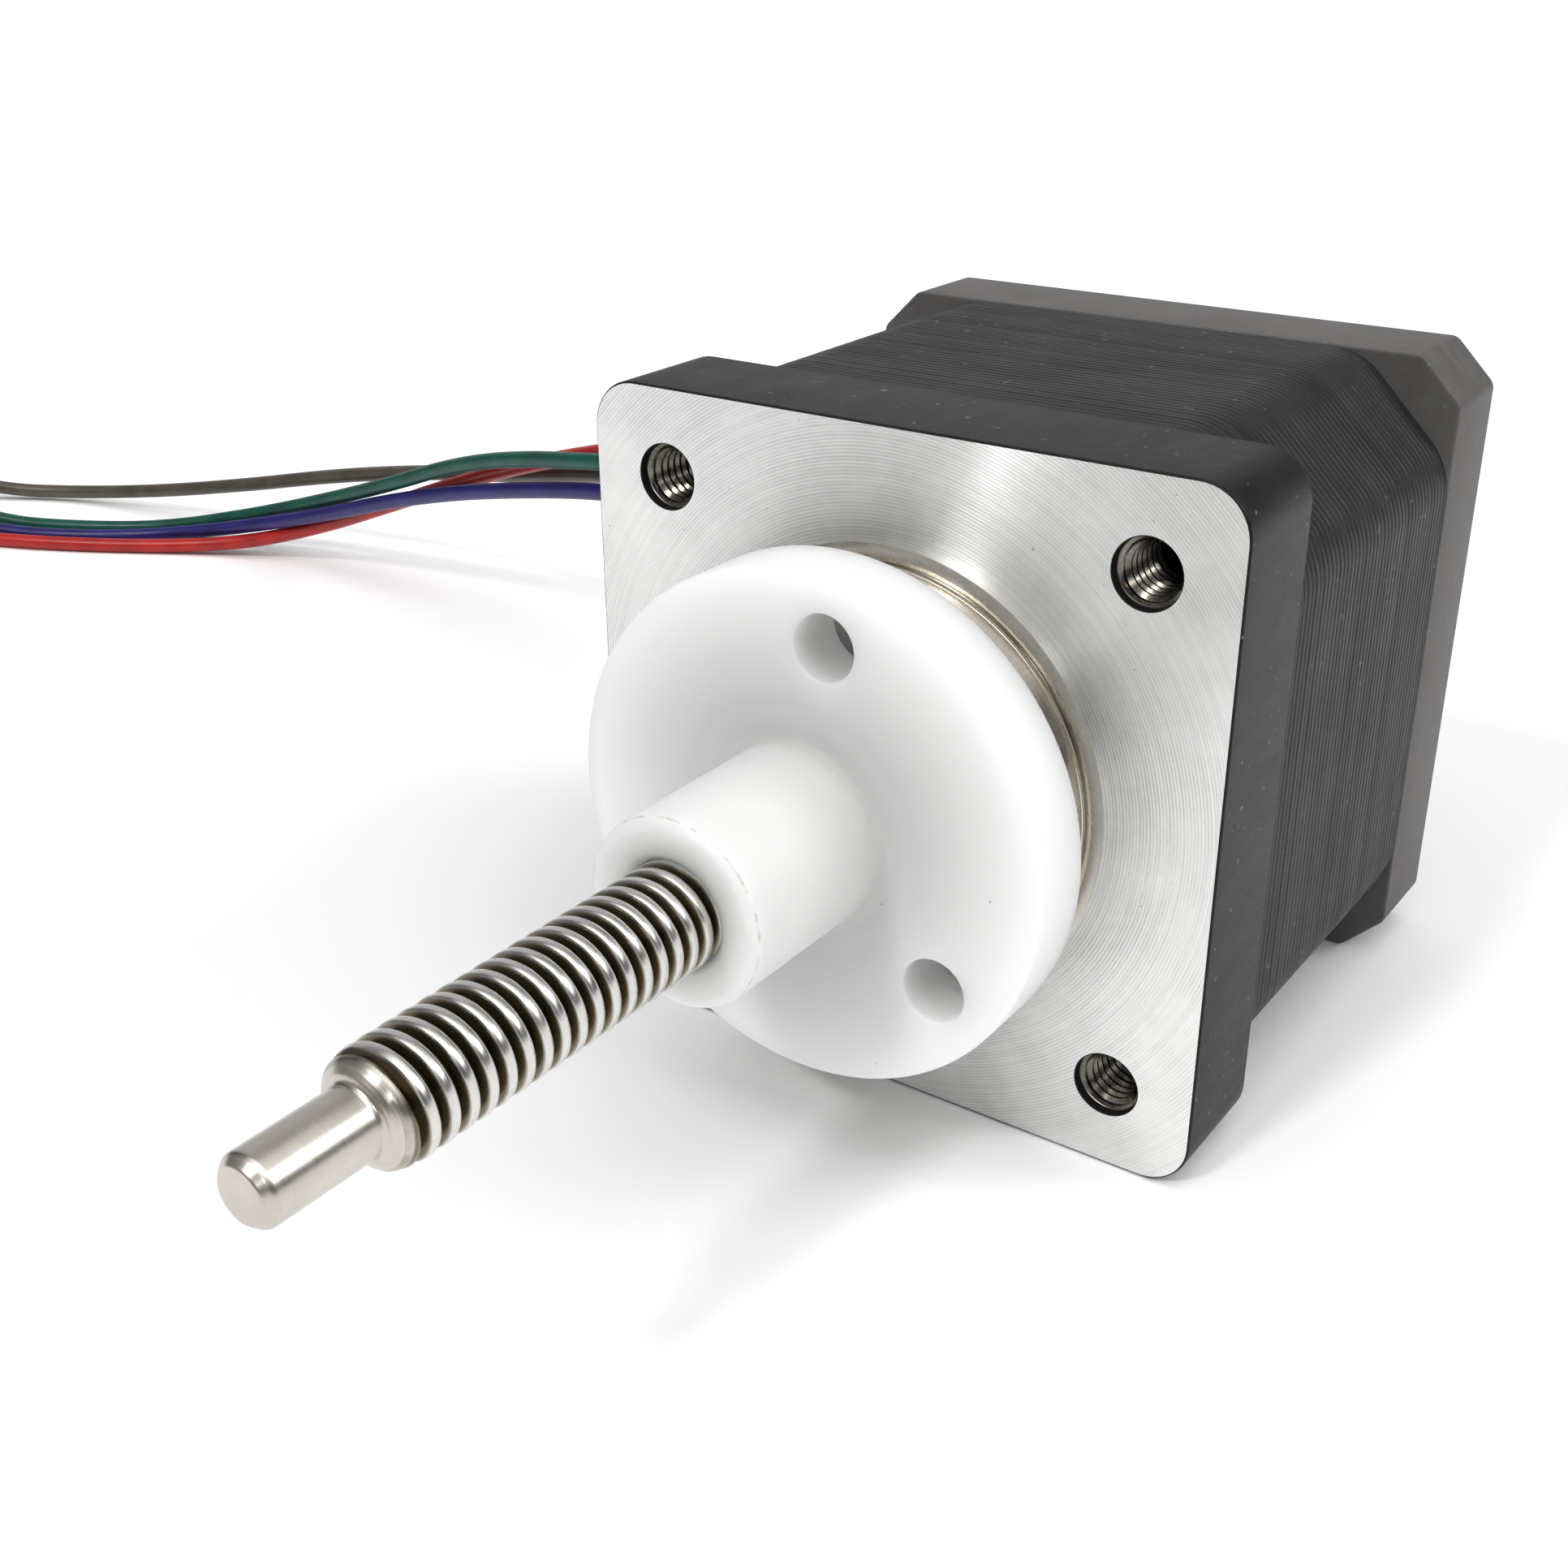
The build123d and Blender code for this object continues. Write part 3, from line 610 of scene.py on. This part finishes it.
# ---- front end cap: machined face and boss, painted sides, four tapped holes ----
CAP_MATERIALS = [MACHINED, DARKENED_EDGE_PAINT, FRONT_PAINT, BOSS_WITH_PAINTED_LIGHT, TAPPED, TURNED, HOLE_MOUTH_SHADE]
FACE, EDGE, SIDE, BOSS, TAP, BRIGHT, MOUTH_SHADE = range(len(CAP_MATERIALS))
FACE_INSET = 0.14  # the flat part of the face ends this far inside the square
cap = Patches()
cap_back = [(e, FRONT_LEN - d) for e, d in reversed(edge_round(0.12))]
cap_sides = [(FACE_INSET, 0.0), (0.10, 0.0), (0.03, 0.05), (0.0, 0.12), (0.0, 0.16), (0.0, 0.20)] + cap_back
cap.loft(
    [at(square_outline(inset), y) for inset, y in cap_sides], [FACE, EDGE, EDGE] + [SIDE] * (len(cap_sides) - 4)
)
ring_round_boss = [
    (BOSS_ROOT_R + 0.05, 0.0),
    (BOSS_ROOT_R, 0.0),
    (11.83, -0.02),
    (11.62, -0.085),
    (11.42, -0.125),
    (11.33, -0.135),
    (11.26, -0.125),
    (11.20, -0.095),
    (11.13, -0.050),
    (11.07, -0.045),
    (11.03, -0.075),
]
boss_wall = [
    (BOSS_R, -0.14),
    (BOSS_R, -0.30),
    (10.97, -0.33),
    (10.97, -0.37),
    (BOSS_R, -0.40),
    (BOSS_R, -0.43),
    (BOSS_R, -1.76),
    (BOSS_R, -1.80),
    (10.985, -1.88),
    (10.94, -1.95),
    (10.86, -1.99),
    (10.78, -BOSS_LEN),
    (10.70, -BOSS_LEN),
]
cap.loft(rings(ring_round_boss + boss_wall), [FACE] + [BOSS] * 19 + [FACE] * 3)
cap.loft(rings([(r, -BOSS_LEN) for r in (10.70, 8.0, 6.0, 4.28)]), FACE)
front_bore = [
    (4.28, -BOSS_LEN),
    (4.2, -BOSS_LEN),
    (SCREW_BORE_R, -1.8),
    (SCREW_BORE_R, 0.6),
    (BEARING_R, 0.6),
    (BEARING_R, 5.0),
    (SEAT_WALL_R, 5.0),
    (SEAT_WALL_R, 2.9),
    (CAVITY_R, 2.9),
    (CAVITY_R, FRONT_LEN),
]
cap.loft(rings(front_bore), [FACE] * 3 + [BOSS] * (len(front_bore) - 4))

M3_MINOR_R, M3_MAJOR_R, M3_PITCH = 1.23, 1.46, 0.5
TAP_Y0 = 0.62  # the thread starts here, below the plain mouth
TAP_RUNOUT = 0.25
TAP_PROFILE = [(0.0, M3_MINOR_R), (0.12, 1.235), (0.45, 1.45), (0.55, M3_MAJOR_R), (0.88, 1.235)]
MOUTH = [(1.80, 0.0), (1.71, 0.0), (1.665, 0.03), (1.65, 0.08), (1.65, 0.50), (1.62, 0.55), (M3_MAJOR_R, TAP_Y0)]
mounting_holes = [(x, z) for x in (-HOLE_X, HOLE_X) for z in (-HOLE_X, HOLE_X)]


def hole_circles(r, y, n=SMALL_ROUND):
    return [circle(r, y, x, z, n) for x, z in mounting_holes]


def tap_radius(y, r):
    """The tapped hole's radius, with the thread running out to its full radius at both ends."""
    share = min(1.0, (y - TAP_Y0) / TAP_RUNOUT, (HOLE_DEPTH - y) / TAP_RUNOUT)
    return max(r, M3_MAJOR_R - share * (M3_MAJOR_R - M3_MINOR_R))


for x, z in mounting_holes:
    # the mouth's bevel and wall are painted near-black as shade
    cap.loft(rings(MOUTH, x, z, SMALL_ROUND), [FACE, MOUTH_SHADE, MOUTH_SHADE, MOUTH_SHADE, BRIGHT, TAP])
    cap.thread(x, z, TAP_Y0, HOLE_DEPTH, M3_PITCH, TAP_PROFILE, tap_radius, SMALL_ROUND, TAP)
    below = [(M3_MAJOR_R, HOLE_DEPTH), (CASE_SCREW_R, HOLE_DEPTH + 0.02), (CASE_SCREW_R, FRONT_LEN)]
    cap.loft(rings(below, x, z, SMALL_ROUND), TAP)
cap.fill(
    [at(square_outline(FACE_INSET), 0.0), circle(BOSS_ROOT_R + 0.05, 0.0)] + hole_circles(MOUTH[0][0], 0.0), FACE
)
cap.fill(
    [at(square_outline(cap_back[-1][0]), FRONT_LEN), circle(CAVITY_R, FRONT_LEN)]
    + hole_circles(CASE_SCREW_R, FRONT_LEN),
    SIDE,
)
cap.build("front_cap", "motor", CAP_MATERIALS, ["front_end_cap"])

# ---- lamination stack: separate sheet edges round the outside, eight toothed poles inside ----
GROOVE = 0.038  # depth between two sheets
SHEET_STEPS = ((0.0, GROOVE), (0.14, 0.014), (0.26, 0.003), (0.74, 0.003), (0.86, 0.014))  # share of it, inset
POLES = 8


def stack_outline(inset, y):
    return at(octagon_outline(17.44, 5.4, 4.0, inset, 10), y)


def pole_outline():
    """The stack's inner edge, all the way round: slots between the poles, pole sides, shoes and their teeth."""
    shoe_r, bore_r, half_w, tooth_depth = 10.3, 9.2, 1.6, 0.4
    shoe, tooth_pitch = math.radians(18.5), math.radians(7.2)
    neck, root = math.asin(half_w / shoe_r), math.asin(half_w / CAVITY_R)
    notch_top, notch_bottom = 0.0299, 0.0286  # half of a notch's width, in radians
    gap, gap_steps = math.pi / 4 - 2 * root, 8
    pole = [(CAVITY_R, -root), (shoe_r, -neck), (shoe_r, -shoe), (bore_r, -shoe)]
    for notch in (-1.5, -0.5, 0.5, 1.5):
        middle = notch * tooth_pitch
        pole.append((bore_r, middle - notch_top))
        pole.append((bore_r + tooth_depth, middle - notch_bottom))
        pole.append((bore_r + tooth_depth, middle + notch_bottom))
        pole.append((bore_r, middle + notch_top))
    pole += [(bore_r, shoe), (shoe_r, shoe), (shoe_r, neck), (CAVITY_R, root)]
    pole += [(CAVITY_R, root + gap * k / gap_steps) for k in range(1, gap_steps)]
    turns = [2 * math.pi / POLES * k for k in range(POLES)]
    return [(r * math.cos(turn + t), r * math.sin(turn + t)) for turn in turns for r, t in pole]


stack = Patches()
sheet_offsets = random.Random(35)
edge_loops = []
for sheet in range(SHEETS):
    offset = sheet_offsets.uniform(-0.006, 0.006)
    for share, inset in SHEET_STEPS:
        edge_loops.append((inset + (offset if share > 0 else 0.0), FRONT_LEN + sheet * SHEET + share * SHEET))
edge_loops.append((GROOVE, STACK_REAR_Y))
stack.loft([stack_outline(inset, y) for inset, y in edge_loops])
poles = pole_outline()
stack.loft([at(poles, FRONT_LEN), at(poles, STACK_REAR_Y)])
for y in (FRONT_LEN, STACK_REAR_Y):
    stack.fill([stack_outline(GROOVE, y), at(poles, y)] + hole_circles(CASE_HOLE_R, y, 32))
for x, z in mounting_holes:
    stack.loft(rings([(CASE_HOLE_R, FRONT_LEN), (CASE_HOLE_R, STACK_REAR_Y)], x, z, 32))
stack.build("lamination_stack", "motor", [LAMINATED], ["stator_laminations"])

# ---- rear end cap ----
REAR_SEAT_Y = 31.9
SINK = [(2.56, 0.0), (2.50, 0.0), (2.45, 0.06), (2.45, 1.8), (CASE_HOLE_R, 1.8)]  # counterbore: radius, depth
RECESS = [(7.6, 0.0), (7.5, 0.0), (7.42, 0.04), (7.36, 0.18), (7.28, 0.22), (7.2, 0.22)]  # round the axis
RECESS += [(2.2, 0.22), (2.1, 0.22), (1.9, 0.12)]
rear_wall = [(e, STACK_REAR_Y + d) for e, d in edge_round(0.15)]
rear_wall += [(e, BODY_LEN - d) for e, d in reversed(edge_round(0.30, 4))]
rear_bore = [
    (CAVITY_R, STACK_REAR_Y),
    (CAVITY_R, 31.3),
    (SEAT_WALL_R, 31.3),
    (SEAT_WALL_R, 27.4),
    (BEARING_R, 27.4),
    (BEARING_R, REAR_SEAT_Y),
]


def rear_outline(inset, y):
    return at(octagon_outline(HALF, 2.3, 0.8, inset), y)


rear = Patches()
rear.loft([rear_outline(e, y) for e, y in rear_wall])
rear.loft(rings(rear_bore))
rear.fill([circle(BEARING_R, REAR_SEAT_Y)])
for x, z in mounting_holes:
    sink = [(r, BODY_LEN - depth) for r, depth in SINK]
    rear.loft(rings(sink + [(CASE_HOLE_R, STACK_REAR_Y)], x, z, SMALL_ROUND))
rear.loft(rings([(r, BODY_LEN - depth) for r, depth in RECESS]))
rear.fill([circle(RECESS[-1][0], BODY_LEN - RECESS[-1][1])])
rear.fill(
    [rear_outline(rear_wall[-1][0], BODY_LEN), circle(RECESS[0][0], BODY_LEN)]
    + hole_circles(SINK[0][0], BODY_LEN)
)
rear.fill(
    [rear_outline(rear_wall[0][0], STACK_REAR_Y), circle(CAVITY_R, STACK_REAR_Y)]
    + hole_circles(CASE_HOLE_R, STACK_REAR_Y)
)
rear_cap = rear.build("rear_cap", "motor", [REAR_PAINT], ["rear_end_cap"])


def cut_box(piece, low, high):
    """Cuts a box out of the piece."""
    mesh = bpy.data.meshes.new("cutter")
    bm = bmesh.new()
    bmesh.ops.create_cube(bm, size=1.0)
    low, high = Vector(low) * MM, Vector(high) * MM
    for v in bm.verts:
        v.co = Vector((low[k] if v.co[k] < 0 else high[k]) for k in range(3))
    bm.to_mesh(mesh)
    bm.free()
    cutter = add_object("cutter", mesh)
    modifier = piece.modifiers.new("slot", "BOOLEAN")
    modifier.operation, modifier.solver, modifier.object = "DIFFERENCE", "EXACT", cutter
    bpy.context.view_layer.update()
    evaluated = piece.evaluated_get(bpy.context.evaluated_depsgraph_get())
    result = bpy.data.meshes.new_from_object(evaluated)
    piece.modifiers.clear()
    piece.data = result
    shade(result)
    bpy.data.objects.remove(cutter)


LEAD_SLOT = ((-21.2, 26.0, -0.3), (-13.2, 31.7, 7.3))
cut_box(rear_cap, *LEAD_SLOT)

# ---- case screws: socket heads in the rear counterbores ----
SCREW_START_Y = 4.6
HEAD_Y = 32.7
CASE_ROUND = 48
head = [(CASE_SCREW_R, SCREW_START_Y), (CASE_SCREW_R, 31.2), (2.1, 31.2), (2.2, 31.3), (2.2, 32.5)]
head += [(2.14, 32.62), (2.02, HEAD_Y), (1.95, HEAD_Y)]
socket = [(0.98, HEAD_Y), (0.90, 32.62), (0.90, 31.8)]
screws = Patches()
for x, z in mounting_holes:
    hexagons = rings(socket, x, z, 6)
    screws.loft(rings(head, x, z, CASE_ROUND))
    screws.fill([circle(CASE_SCREW_R, SCREW_START_Y, x, z, CASE_ROUND)])
    screws.fill([circle(head[-1][0], HEAD_Y, x, z, CASE_ROUND), hexagons[0]])
    screws.loft(hexagons)
    screws.fill([hexagons[-1]])
screws.build("case_socket_screws", "motor", [BLACK_OXIDE], ["case_screws"])

# ---- lead screw ----
TIP_Y = -40.0
THREAD_Y0, THREAD_Y1 = -34.45, 0.2
THREAD_PITCH = 1.0
ROOT_R, CREST_R = 1.93, 2.5
SHAFT_REAR_R, SHAFT_REAR_Y = 2.2, 31.4
SCREW_PROFILE = [
    (0.0, ROOT_R),
    (0.14, ROOT_R),
    (0.19, 1.98),
    (0.305, 2.38),
    (0.35, 2.455),
    (0.41, 2.487),
    (0.49, CREST_R),
    (0.67, CREST_R),
    (0.75, 2.487),
    (0.81, 2.455),
    (0.855, 2.38),
    (0.97, 1.98),
]
# (y, radius) of the turned bevel at the front end of the thread
BEVEL = [(THREAD_Y0, 2.12), (-34.36, 2.24), (-34.22, 2.31), (-33.75, 2.43), (-33.55, 2.47), (-33.4, CREST_R)]
journal = [
    (0.55, TIP_Y),
    (1.06, TIP_Y),
    (1.10, TIP_Y),
    (1.15, -39.985),
    (1.20, -39.94),
    (1.42, -39.70),
    (1.47, -39.62),
    (1.495, -39.55),
    (1.5, -39.47),
    (1.5, -34.98),
    (1.515, -34.90),
    (1.56, -34.82),
    (1.63, -34.765),
    (1.72, -34.74),
    (1.84, -34.70),
    (2.02, -34.56),
    (2.12, THREAD_Y0),
]


def bevel_radius(y):
    for (y0, r0), (y1, r1) in zip(BEVEL, BEVEL[1:]):
        if y <= y1:
            return r0 + (r1 - r0) * (y - y0) / (y1 - y0)
    return CREST_R


def screw_radius(y, r):
    """The thread's radius, cut back to the bevel, and with the groove running out at both ends."""
    runout_y, runout_len, rear_slope = -34.25, 0.60, 0.9
    share = min(max((y - runout_y) / runout_len, 0.0), 1.0)
    front = CREST_R - share * (CREST_R - ROOT_R)
    rear_end = ROOT_R + max(0.0, THREAD_Y1 - y) * rear_slope
    return min(max(r, front), bevel_radius(y), rear_end)


screw = Patches()
SCREW_THREAD, SCREW_PLAIN = range(2)
screw.fill([circle(journal[0][0], TIP_Y, n=SCREW_ROUND)], SCREW_PLAIN)
screw.loft(rings(held(journal), n=SCREW_ROUND), SCREW_PLAIN)
screw.thread(
    0, 0, THREAD_Y0, THREAD_Y1, THREAD_PITCH, SCREW_PROFILE, screw_radius, SCREW_ROUND, SCREW_THREAD, turn=0.12
)
shaft = [(ROOT_R, THREAD_Y1), (CREST_R, THREAD_Y1 + 0.3), (CREST_R, 31.1), (SHAFT_REAR_R, SHAFT_REAR_Y)]
screw.loft(rings(held(shaft), n=SCREW_ROUND), SCREW_PLAIN)
screw.fill([circle(SHAFT_REAR_R, SHAFT_REAR_Y, n=SCREW_ROUND)], SCREW_PLAIN)
screw.build("threaded_screw", "rotor", [THREADED, TURNED], ["lead_screw"])

# ---- flanged nut ----
FLANGE_R, FLANGE_BACK, FLANGE_FRONT = 12.7, -3.65, -7.4
NUT_HUB_R, NUT_FRONT, NUT_BORE_R = 4.5, -16.8, 2.56
FILLET_R, FILLET_STEPS = 0.4, 5
FACE_INNER_R, BACK_INNER_R = 4.98, 2.86  # where the flange's two flat sides end
NUT_HOLE_R, NUT_HOLE_BACK_R = 1.6, 1.9
NUT_HOLE_CIRCLE_R, NUT_HOLE_TURN_DEG = 9.525, 81.7

rim = [(FLANGE_R - e, FLANGE_FRONT + d) for e, d in edge_round(0.16, 4)]
rim += [(FLANGE_R - e, FLANGE_BACK - d) for e, d in reversed(edge_round(0.16, 4))]
hub = [(FACE_INNER_R, FLANGE_FRONT)]
for k in range(FILLET_STEPS + 1):
    a = math.pi / 2 * k / FILLET_STEPS
    hub.append((NUT_HUB_R + FILLET_R * (1 - math.sin(a)), FLANGE_FRONT - FILLET_R * (1 - math.cos(a))))
hub += [(NUT_HUB_R, -16.35), (4.485, -16.45), (4.44, -16.53), (4.24, -16.73), (4.16, -16.785)]
hub += [(4.06, NUT_FRONT), (3.98, NUT_FRONT)]
nut_bore = [(3.98, NUT_FRONT), (2.86, NUT_FRONT), (2.80, NUT_FRONT), (2.70, NUT_FRONT + 0.06)]
nut_bore += [(NUT_BORE_R, NUT_FRONT + 0.22), (NUT_BORE_R, FLANGE_BACK - 0.22)]
nut_bore += [(2.78, FLANGE_BACK), (BACK_INNER_R, FLANGE_BACK)]
nut_hole = [(NUT_HOLE_R + e, FLANGE_FRONT + d) for e, d in edge_round(0.10)]
nut_hole += [(NUT_HOLE_R, FLANGE_BACK - 0.95), (1.66, FLANGE_BACK - 0.80)]
nut_hole += [(NUT_HOLE_BACK_R + e, FLANGE_BACK - d) for e, d in reversed(edge_round(0.06))]
turns = [math.radians(NUT_HOLE_TURN_DEG + 120 * k) for k in range(3)]
nut_holes = [(NUT_HOLE_CIRCLE_R * math.cos(t), NUT_HOLE_CIRCLE_R * math.sin(t)) for t in turns]

nut = Patches()
for profile in (rim, hub, nut_bore):
    nut.loft(rings(held(profile)))
for x, z in nut_holes:
    nut.loft(rings(held(nut_hole), x, z, SMALL_ROUND))
for y, outer_r, inner_r, hole_r in (
    (FLANGE_FRONT, rim[0][0], FACE_INNER_R, nut_hole[0][0]),
    (FLANGE_BACK, rim[-1][0], BACK_INNER_R, nut_hole[-1][0]),
):
    nut.fill([circle(outer_r, y), circle(inner_r, y)] + [circle(hole_r, y, x, z, SMALL_ROUND) for x, z in nut_holes])
nut.build("acetal_nut", "nut", [NUT], ["flange_nut"])

# ---- leads: each is one smooth line from the terminal block to the middle of the put-away coil ----
LEAD_D = 1.3
BARE_D = 0.52
FLOOR_LINE = -HALF + LEAD_D / 2
LEAD_Y = 30.45
LEAD_START_X = -13.2
EXIT_X = -18.1
COIL_CENTRE = (-134.0, 13.5)
COIL_R, COIL_PITCH = 9.9, 1.32
COIL_STEP = math.radians(30)
LEAD_LENGTH = 300.0
# colour: height at the exit, layer in the coil, angle in degrees at which it joins the coil, length of the route
LEADS = {"red": (5.9, 0, 99, 130), "blue": (1.1, 1, 114, 131), "green": (4.3, 2, 129, 135), "black": (2.7, 3, 156, 146)}
ROUTES = {
    "red": [
        (-24.0, 30.8, 5.6), (-35.5, 32.4, 4.0), (-46.9, 34.7, 1.1), (-57.4, 37.0, -2.2),
        (-67.2, 38.8, -5.8), (-77.4, 40.6, -9.9), (-86.8, 40.9, -13.6), (-95.4, 38.7, -16.2),
        (-102.9, 34.7, FLOOR_LINE), (-109.8, 30.6, FLOOR_LINE), (-117.5, 27.1, FLOOR_LINE), (-127.0, 24.0, FLOOR_LINE),
    ],
    "blue": [
        (-24.0, 30.6, 0.9), (-35.0, 31.7, -0.2), (-46.8, 33.2, -1.6), (-56.6, 35.2, -3.7),
        (-65.7, 37.0, -5.9), (-75.4, 38.6, -8.7), (-85.2, 39.6, -11.9), (-95.7, 39.4, -14.8),
        (-105.4, 36.6, -16.7), (-111.7, 32.2, FLOOR_LINE), (-119.8, 28.6, FLOOR_LINE), (-129.6, 26.1, -15.7),
    ],
    "green": [
        (-24.0, 30.5, 4.0), (-35.0, 31.4, 2.6), (-46.5, 33.0, 0.7), (-56.2, 35.0, -1.0),
        (-65.5, 37.0, -3.5), (-75.5, 38.9, -7.3), (-86.2, 40.6, -11.0), (-97.4, 41.2, -14.5),
        (-107.1, 38.2, -16.7), (-114.2, 34.0, FLOOR_LINE), (-122.6, 30.6, FLOOR_LINE), (-132.3, 27.5, -14.3),
    ],
    "black": [
        (-24.0, 31.1, 2.4), (-36.5, 33.3, 0.9), (-49.5, 36.4, -1.5), (-59.9, 38.8, -3.9),
        (-69.4, 40.8, -5.7), (-79.2, 42.4, -7.7), (-89.0, 43.4, -9.9), (-100.2, 43.8, -12.6),
        (-113.3, 43.2, -15.3), (-123.8, 40.8, -16.6), (-131.6, 36.7, -16.6), (-139.2, 29.3, -13.1),
    ],
}


def spline_object(name, points, thickness, material):
    """A round smooth line through these control points, in millimetres."""
    curve = bpy.data.curves.new(name, "CURVE")
    curve.dimensions = "3D"
    curve.bevel_depth = thickness / 2 * MM
    curve.bevel_resolution = 7
    curve.resolution_u = 10
    curve.use_fill_caps = True
    curve.materials.append(material)
    spline = curve.splines.new("NURBS")
    spline.points.add(len(points) - 1)
    for control, p in zip(spline.points, points):
        control.co = (p[0] * MM, p[1] * MM, p[2] * MM, 1.0)
    spline.order_u = 3
    spline.use_endpoint_u = True
    return add_object(name, curve)


def coil_points(entry_deg, z, length):
    """Flat coil wound inwards, of that length."""
    angle, r, wound = math.radians(entry_deg), COIL_R, 0.0
    points = []
    while True:
        points.append((COIL_CENTRE[0] + r * math.cos(angle), COIL_CENTRE[1] + r * math.sin(angle), z))
        if wound >= length:
            return points
        angle += COIL_STEP
        r -= COIL_PITCH * COIL_STEP / (2 * math.pi)
        wound += r * COIL_STEP


lead_pieces = []
for colour, (exit_z, layer, entry_deg, route_length) in LEADS.items():
    points = [(LEAD_START_X, LEAD_Y, exit_z)] + ROUTES[colour]
    points += coil_points(entry_deg, FLOOR_LINE + LEAD_D * layer, LEAD_LENGTH - route_length)
    lead = spline_object(f"pvc_lead_{colour}", points, LEAD_D, pvc(f"pvc_{colour}", *LEAD_COLOURS[colour]))
    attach(lead, "motor")
    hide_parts(f"lead_{colour}", *(["lead_coil"] if colour == "red" else []))
    # the stripped, tinned end of the conductor
    end, before = Vector(points[-1]), Vector(points[-2])
    ahead = (end - before).normalized()
    stripped = [end - ahead * 0.5, end + ahead * 1.0, end + ahead * 2.2]
    bare = spline_object(f"bare_end_{colour}", stripped, BARE_D, BARE_COPPER)
    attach(bare, "motor")
    lead_pieces.append((lead, bare, exit_z))

# ---- grommet: rounded block in the rear cap's slot, with a short collar round each lead ----
GROMMET_BACK_X = -15.2
GROMMET_Y0, GROMMET_Y1, GROMMET_Z0, GROMMET_Z1 = 27.15, 31.66, -0.26, 7.26
COLLAR_R = 0.78
LEAD_BORE_R = LEAD_D / 2 + 0.005


def side_outline(inset, x):
    y0, y1 = GROMMET_Y0 + inset, GROMMET_Y1 - inset
    z0, z1 = GROMMET_Z0 + inset, GROMMET_Z1 - inset
    corners = [(y0, z0), (y1, z0), (y1, z1), (y0, z1)]
    return [(x, y, z) for y, z in rounded(corners, max(0.5 - inset, 0.05), 5)]


def side_circle(r, x, z, n=40):
    turns = (2 * math.pi * i / n for i in range(n))
    return [(x, LEAD_Y + r * math.cos(t), z + r * math.sin(t)) for t in turns]


exits = [exit_z for _, _, exit_z in lead_pieces]
collar = [(COLLAR_R, EXIT_X), (0.76, EXIT_X - 0.35), (0.72, EXIT_X - 0.42)]
collar += [(LEAD_BORE_R, EXIT_X - 0.42), (LEAD_BORE_R, GROMMET_BACK_X)]
grommet = Patches()
front_edge = edge_round(0.25, 4)
grommet.loft([side_outline(e, EXIT_X + d) for e, d in front_edge] + [side_outline(0.0, GROMMET_BACK_X)])
for z in exits:
    grommet.loft([side_circle(r, x, z) for r, x in collar])
grommet.fill([side_outline(front_edge[0][0], EXIT_X)] + [side_circle(COLLAR_R, EXIT_X, z) for z in exits])
grommet.fill([side_outline(0.0, GROMMET_BACK_X)] + [side_circle(LEAD_BORE_R, GROMMET_BACK_X, z) for z in exits])
grommet_piece = grommet.build("rubber_grommet", "motor", [GROMMET], ["lead_grommet"])

# ---- stage: plain floor, a hair below the motor ----
bpy.ops.mesh.primitive_plane_add(size=8.0, location=(0, 0, -HALF * MM - 0.00002))
floor = bpy.context.object
floor.name = "floor"
floor.data.materials.append(Shader("floor_paper").surface(Base_Color=(0.97, 0.97, 0.97, 1.0), Roughness=0.9))

# ---- light: a dim room with a bright ceiling and two paler sides, and three distant lamps ----
world = bpy.data.worlds.new("studio")
bpy.context.scene.world = world
world.use_nodes = True
background = world.node_tree.nodes["Background"]
sky = Nodes(world.node_tree)
direction = sky.add("TexCoord").outputs["Generated"]


def towards(x, y, z):
    """How far a direction of the sky points the same way as this one."""
    return sky.add("VectorMath", {0: direction, 1: (x, y, z)}, operation="DOT_PRODUCT").outputs["Value"]


ceiling = sky.ramp(
    towards(0.28, -0.12, 0.95), (0.0, 0.045), (0.40, 0.045), (0.66, 0.09), (0.82, 0.50), (0.93, 1.0)
)
behind = sky.range(towards(-0.62, 0.72, 0.31), 0.72, 0.93, 0.0, 0.28)
beside = sky.range(towards(-0.60, -0.70, 0.39), 0.70, 0.98, 0.0, 0.13)
sky.feed(background.inputs["Color"], sky.mix(1.0, ceiling, sky.math("ADD", behind, beside), "ADD"))
background.inputs["Strength"].default_value = 2.05


def lamp(name, way, energy, width_deg):
    """Distant lamp in that direction from the motor, that wide in the sky."""
    data = bpy.data.lights.new(name, "SUN")
    data.energy = energy
    data.angle = math.radians(width_deg)
    add_object(name, data).rotation_euler = (-Vector(way)).to_track_quat("-Z", "Y").to_euler()


lamp("lamp_front", (-0.133, -0.70, 0.70), 0.80, 7.2)
lamp("lamp_camera", (0.457, -0.762, 0.458), 0.22, 2.7)
lamp("lamp_back", (0.70, 0.44, 0.57), 0.85, 23.0)

# ---- camera ----
RIGHT = (0.8164, 0.5775, -0.0060)
DOWN = (0.2442, -0.3546, -0.9025)
AHEAD = (-0.5234, 0.7353, -0.4305)
CAMERA_AT = (44.57, -71.04, 39.59)
lens = bpy.data.cameras.new("camera")
lens.lens = 43.35
lens.sensor_width = 36.0
lens.clip_start = 0.005
camera = add_object("camera", lens)
axes = Matrix((RIGHT, [-c for c in DOWN], [-c for c in AHEAD])).transposed()
camera.matrix_world = Matrix.Translation(Vector(CAMERA_AT) * MM) @ axes.to_4x4()
bpy.context.scene.camera = camera
view = bpy.context.scene.view_settings
view.view_transform = "Standard"
view.gamma = 0.86
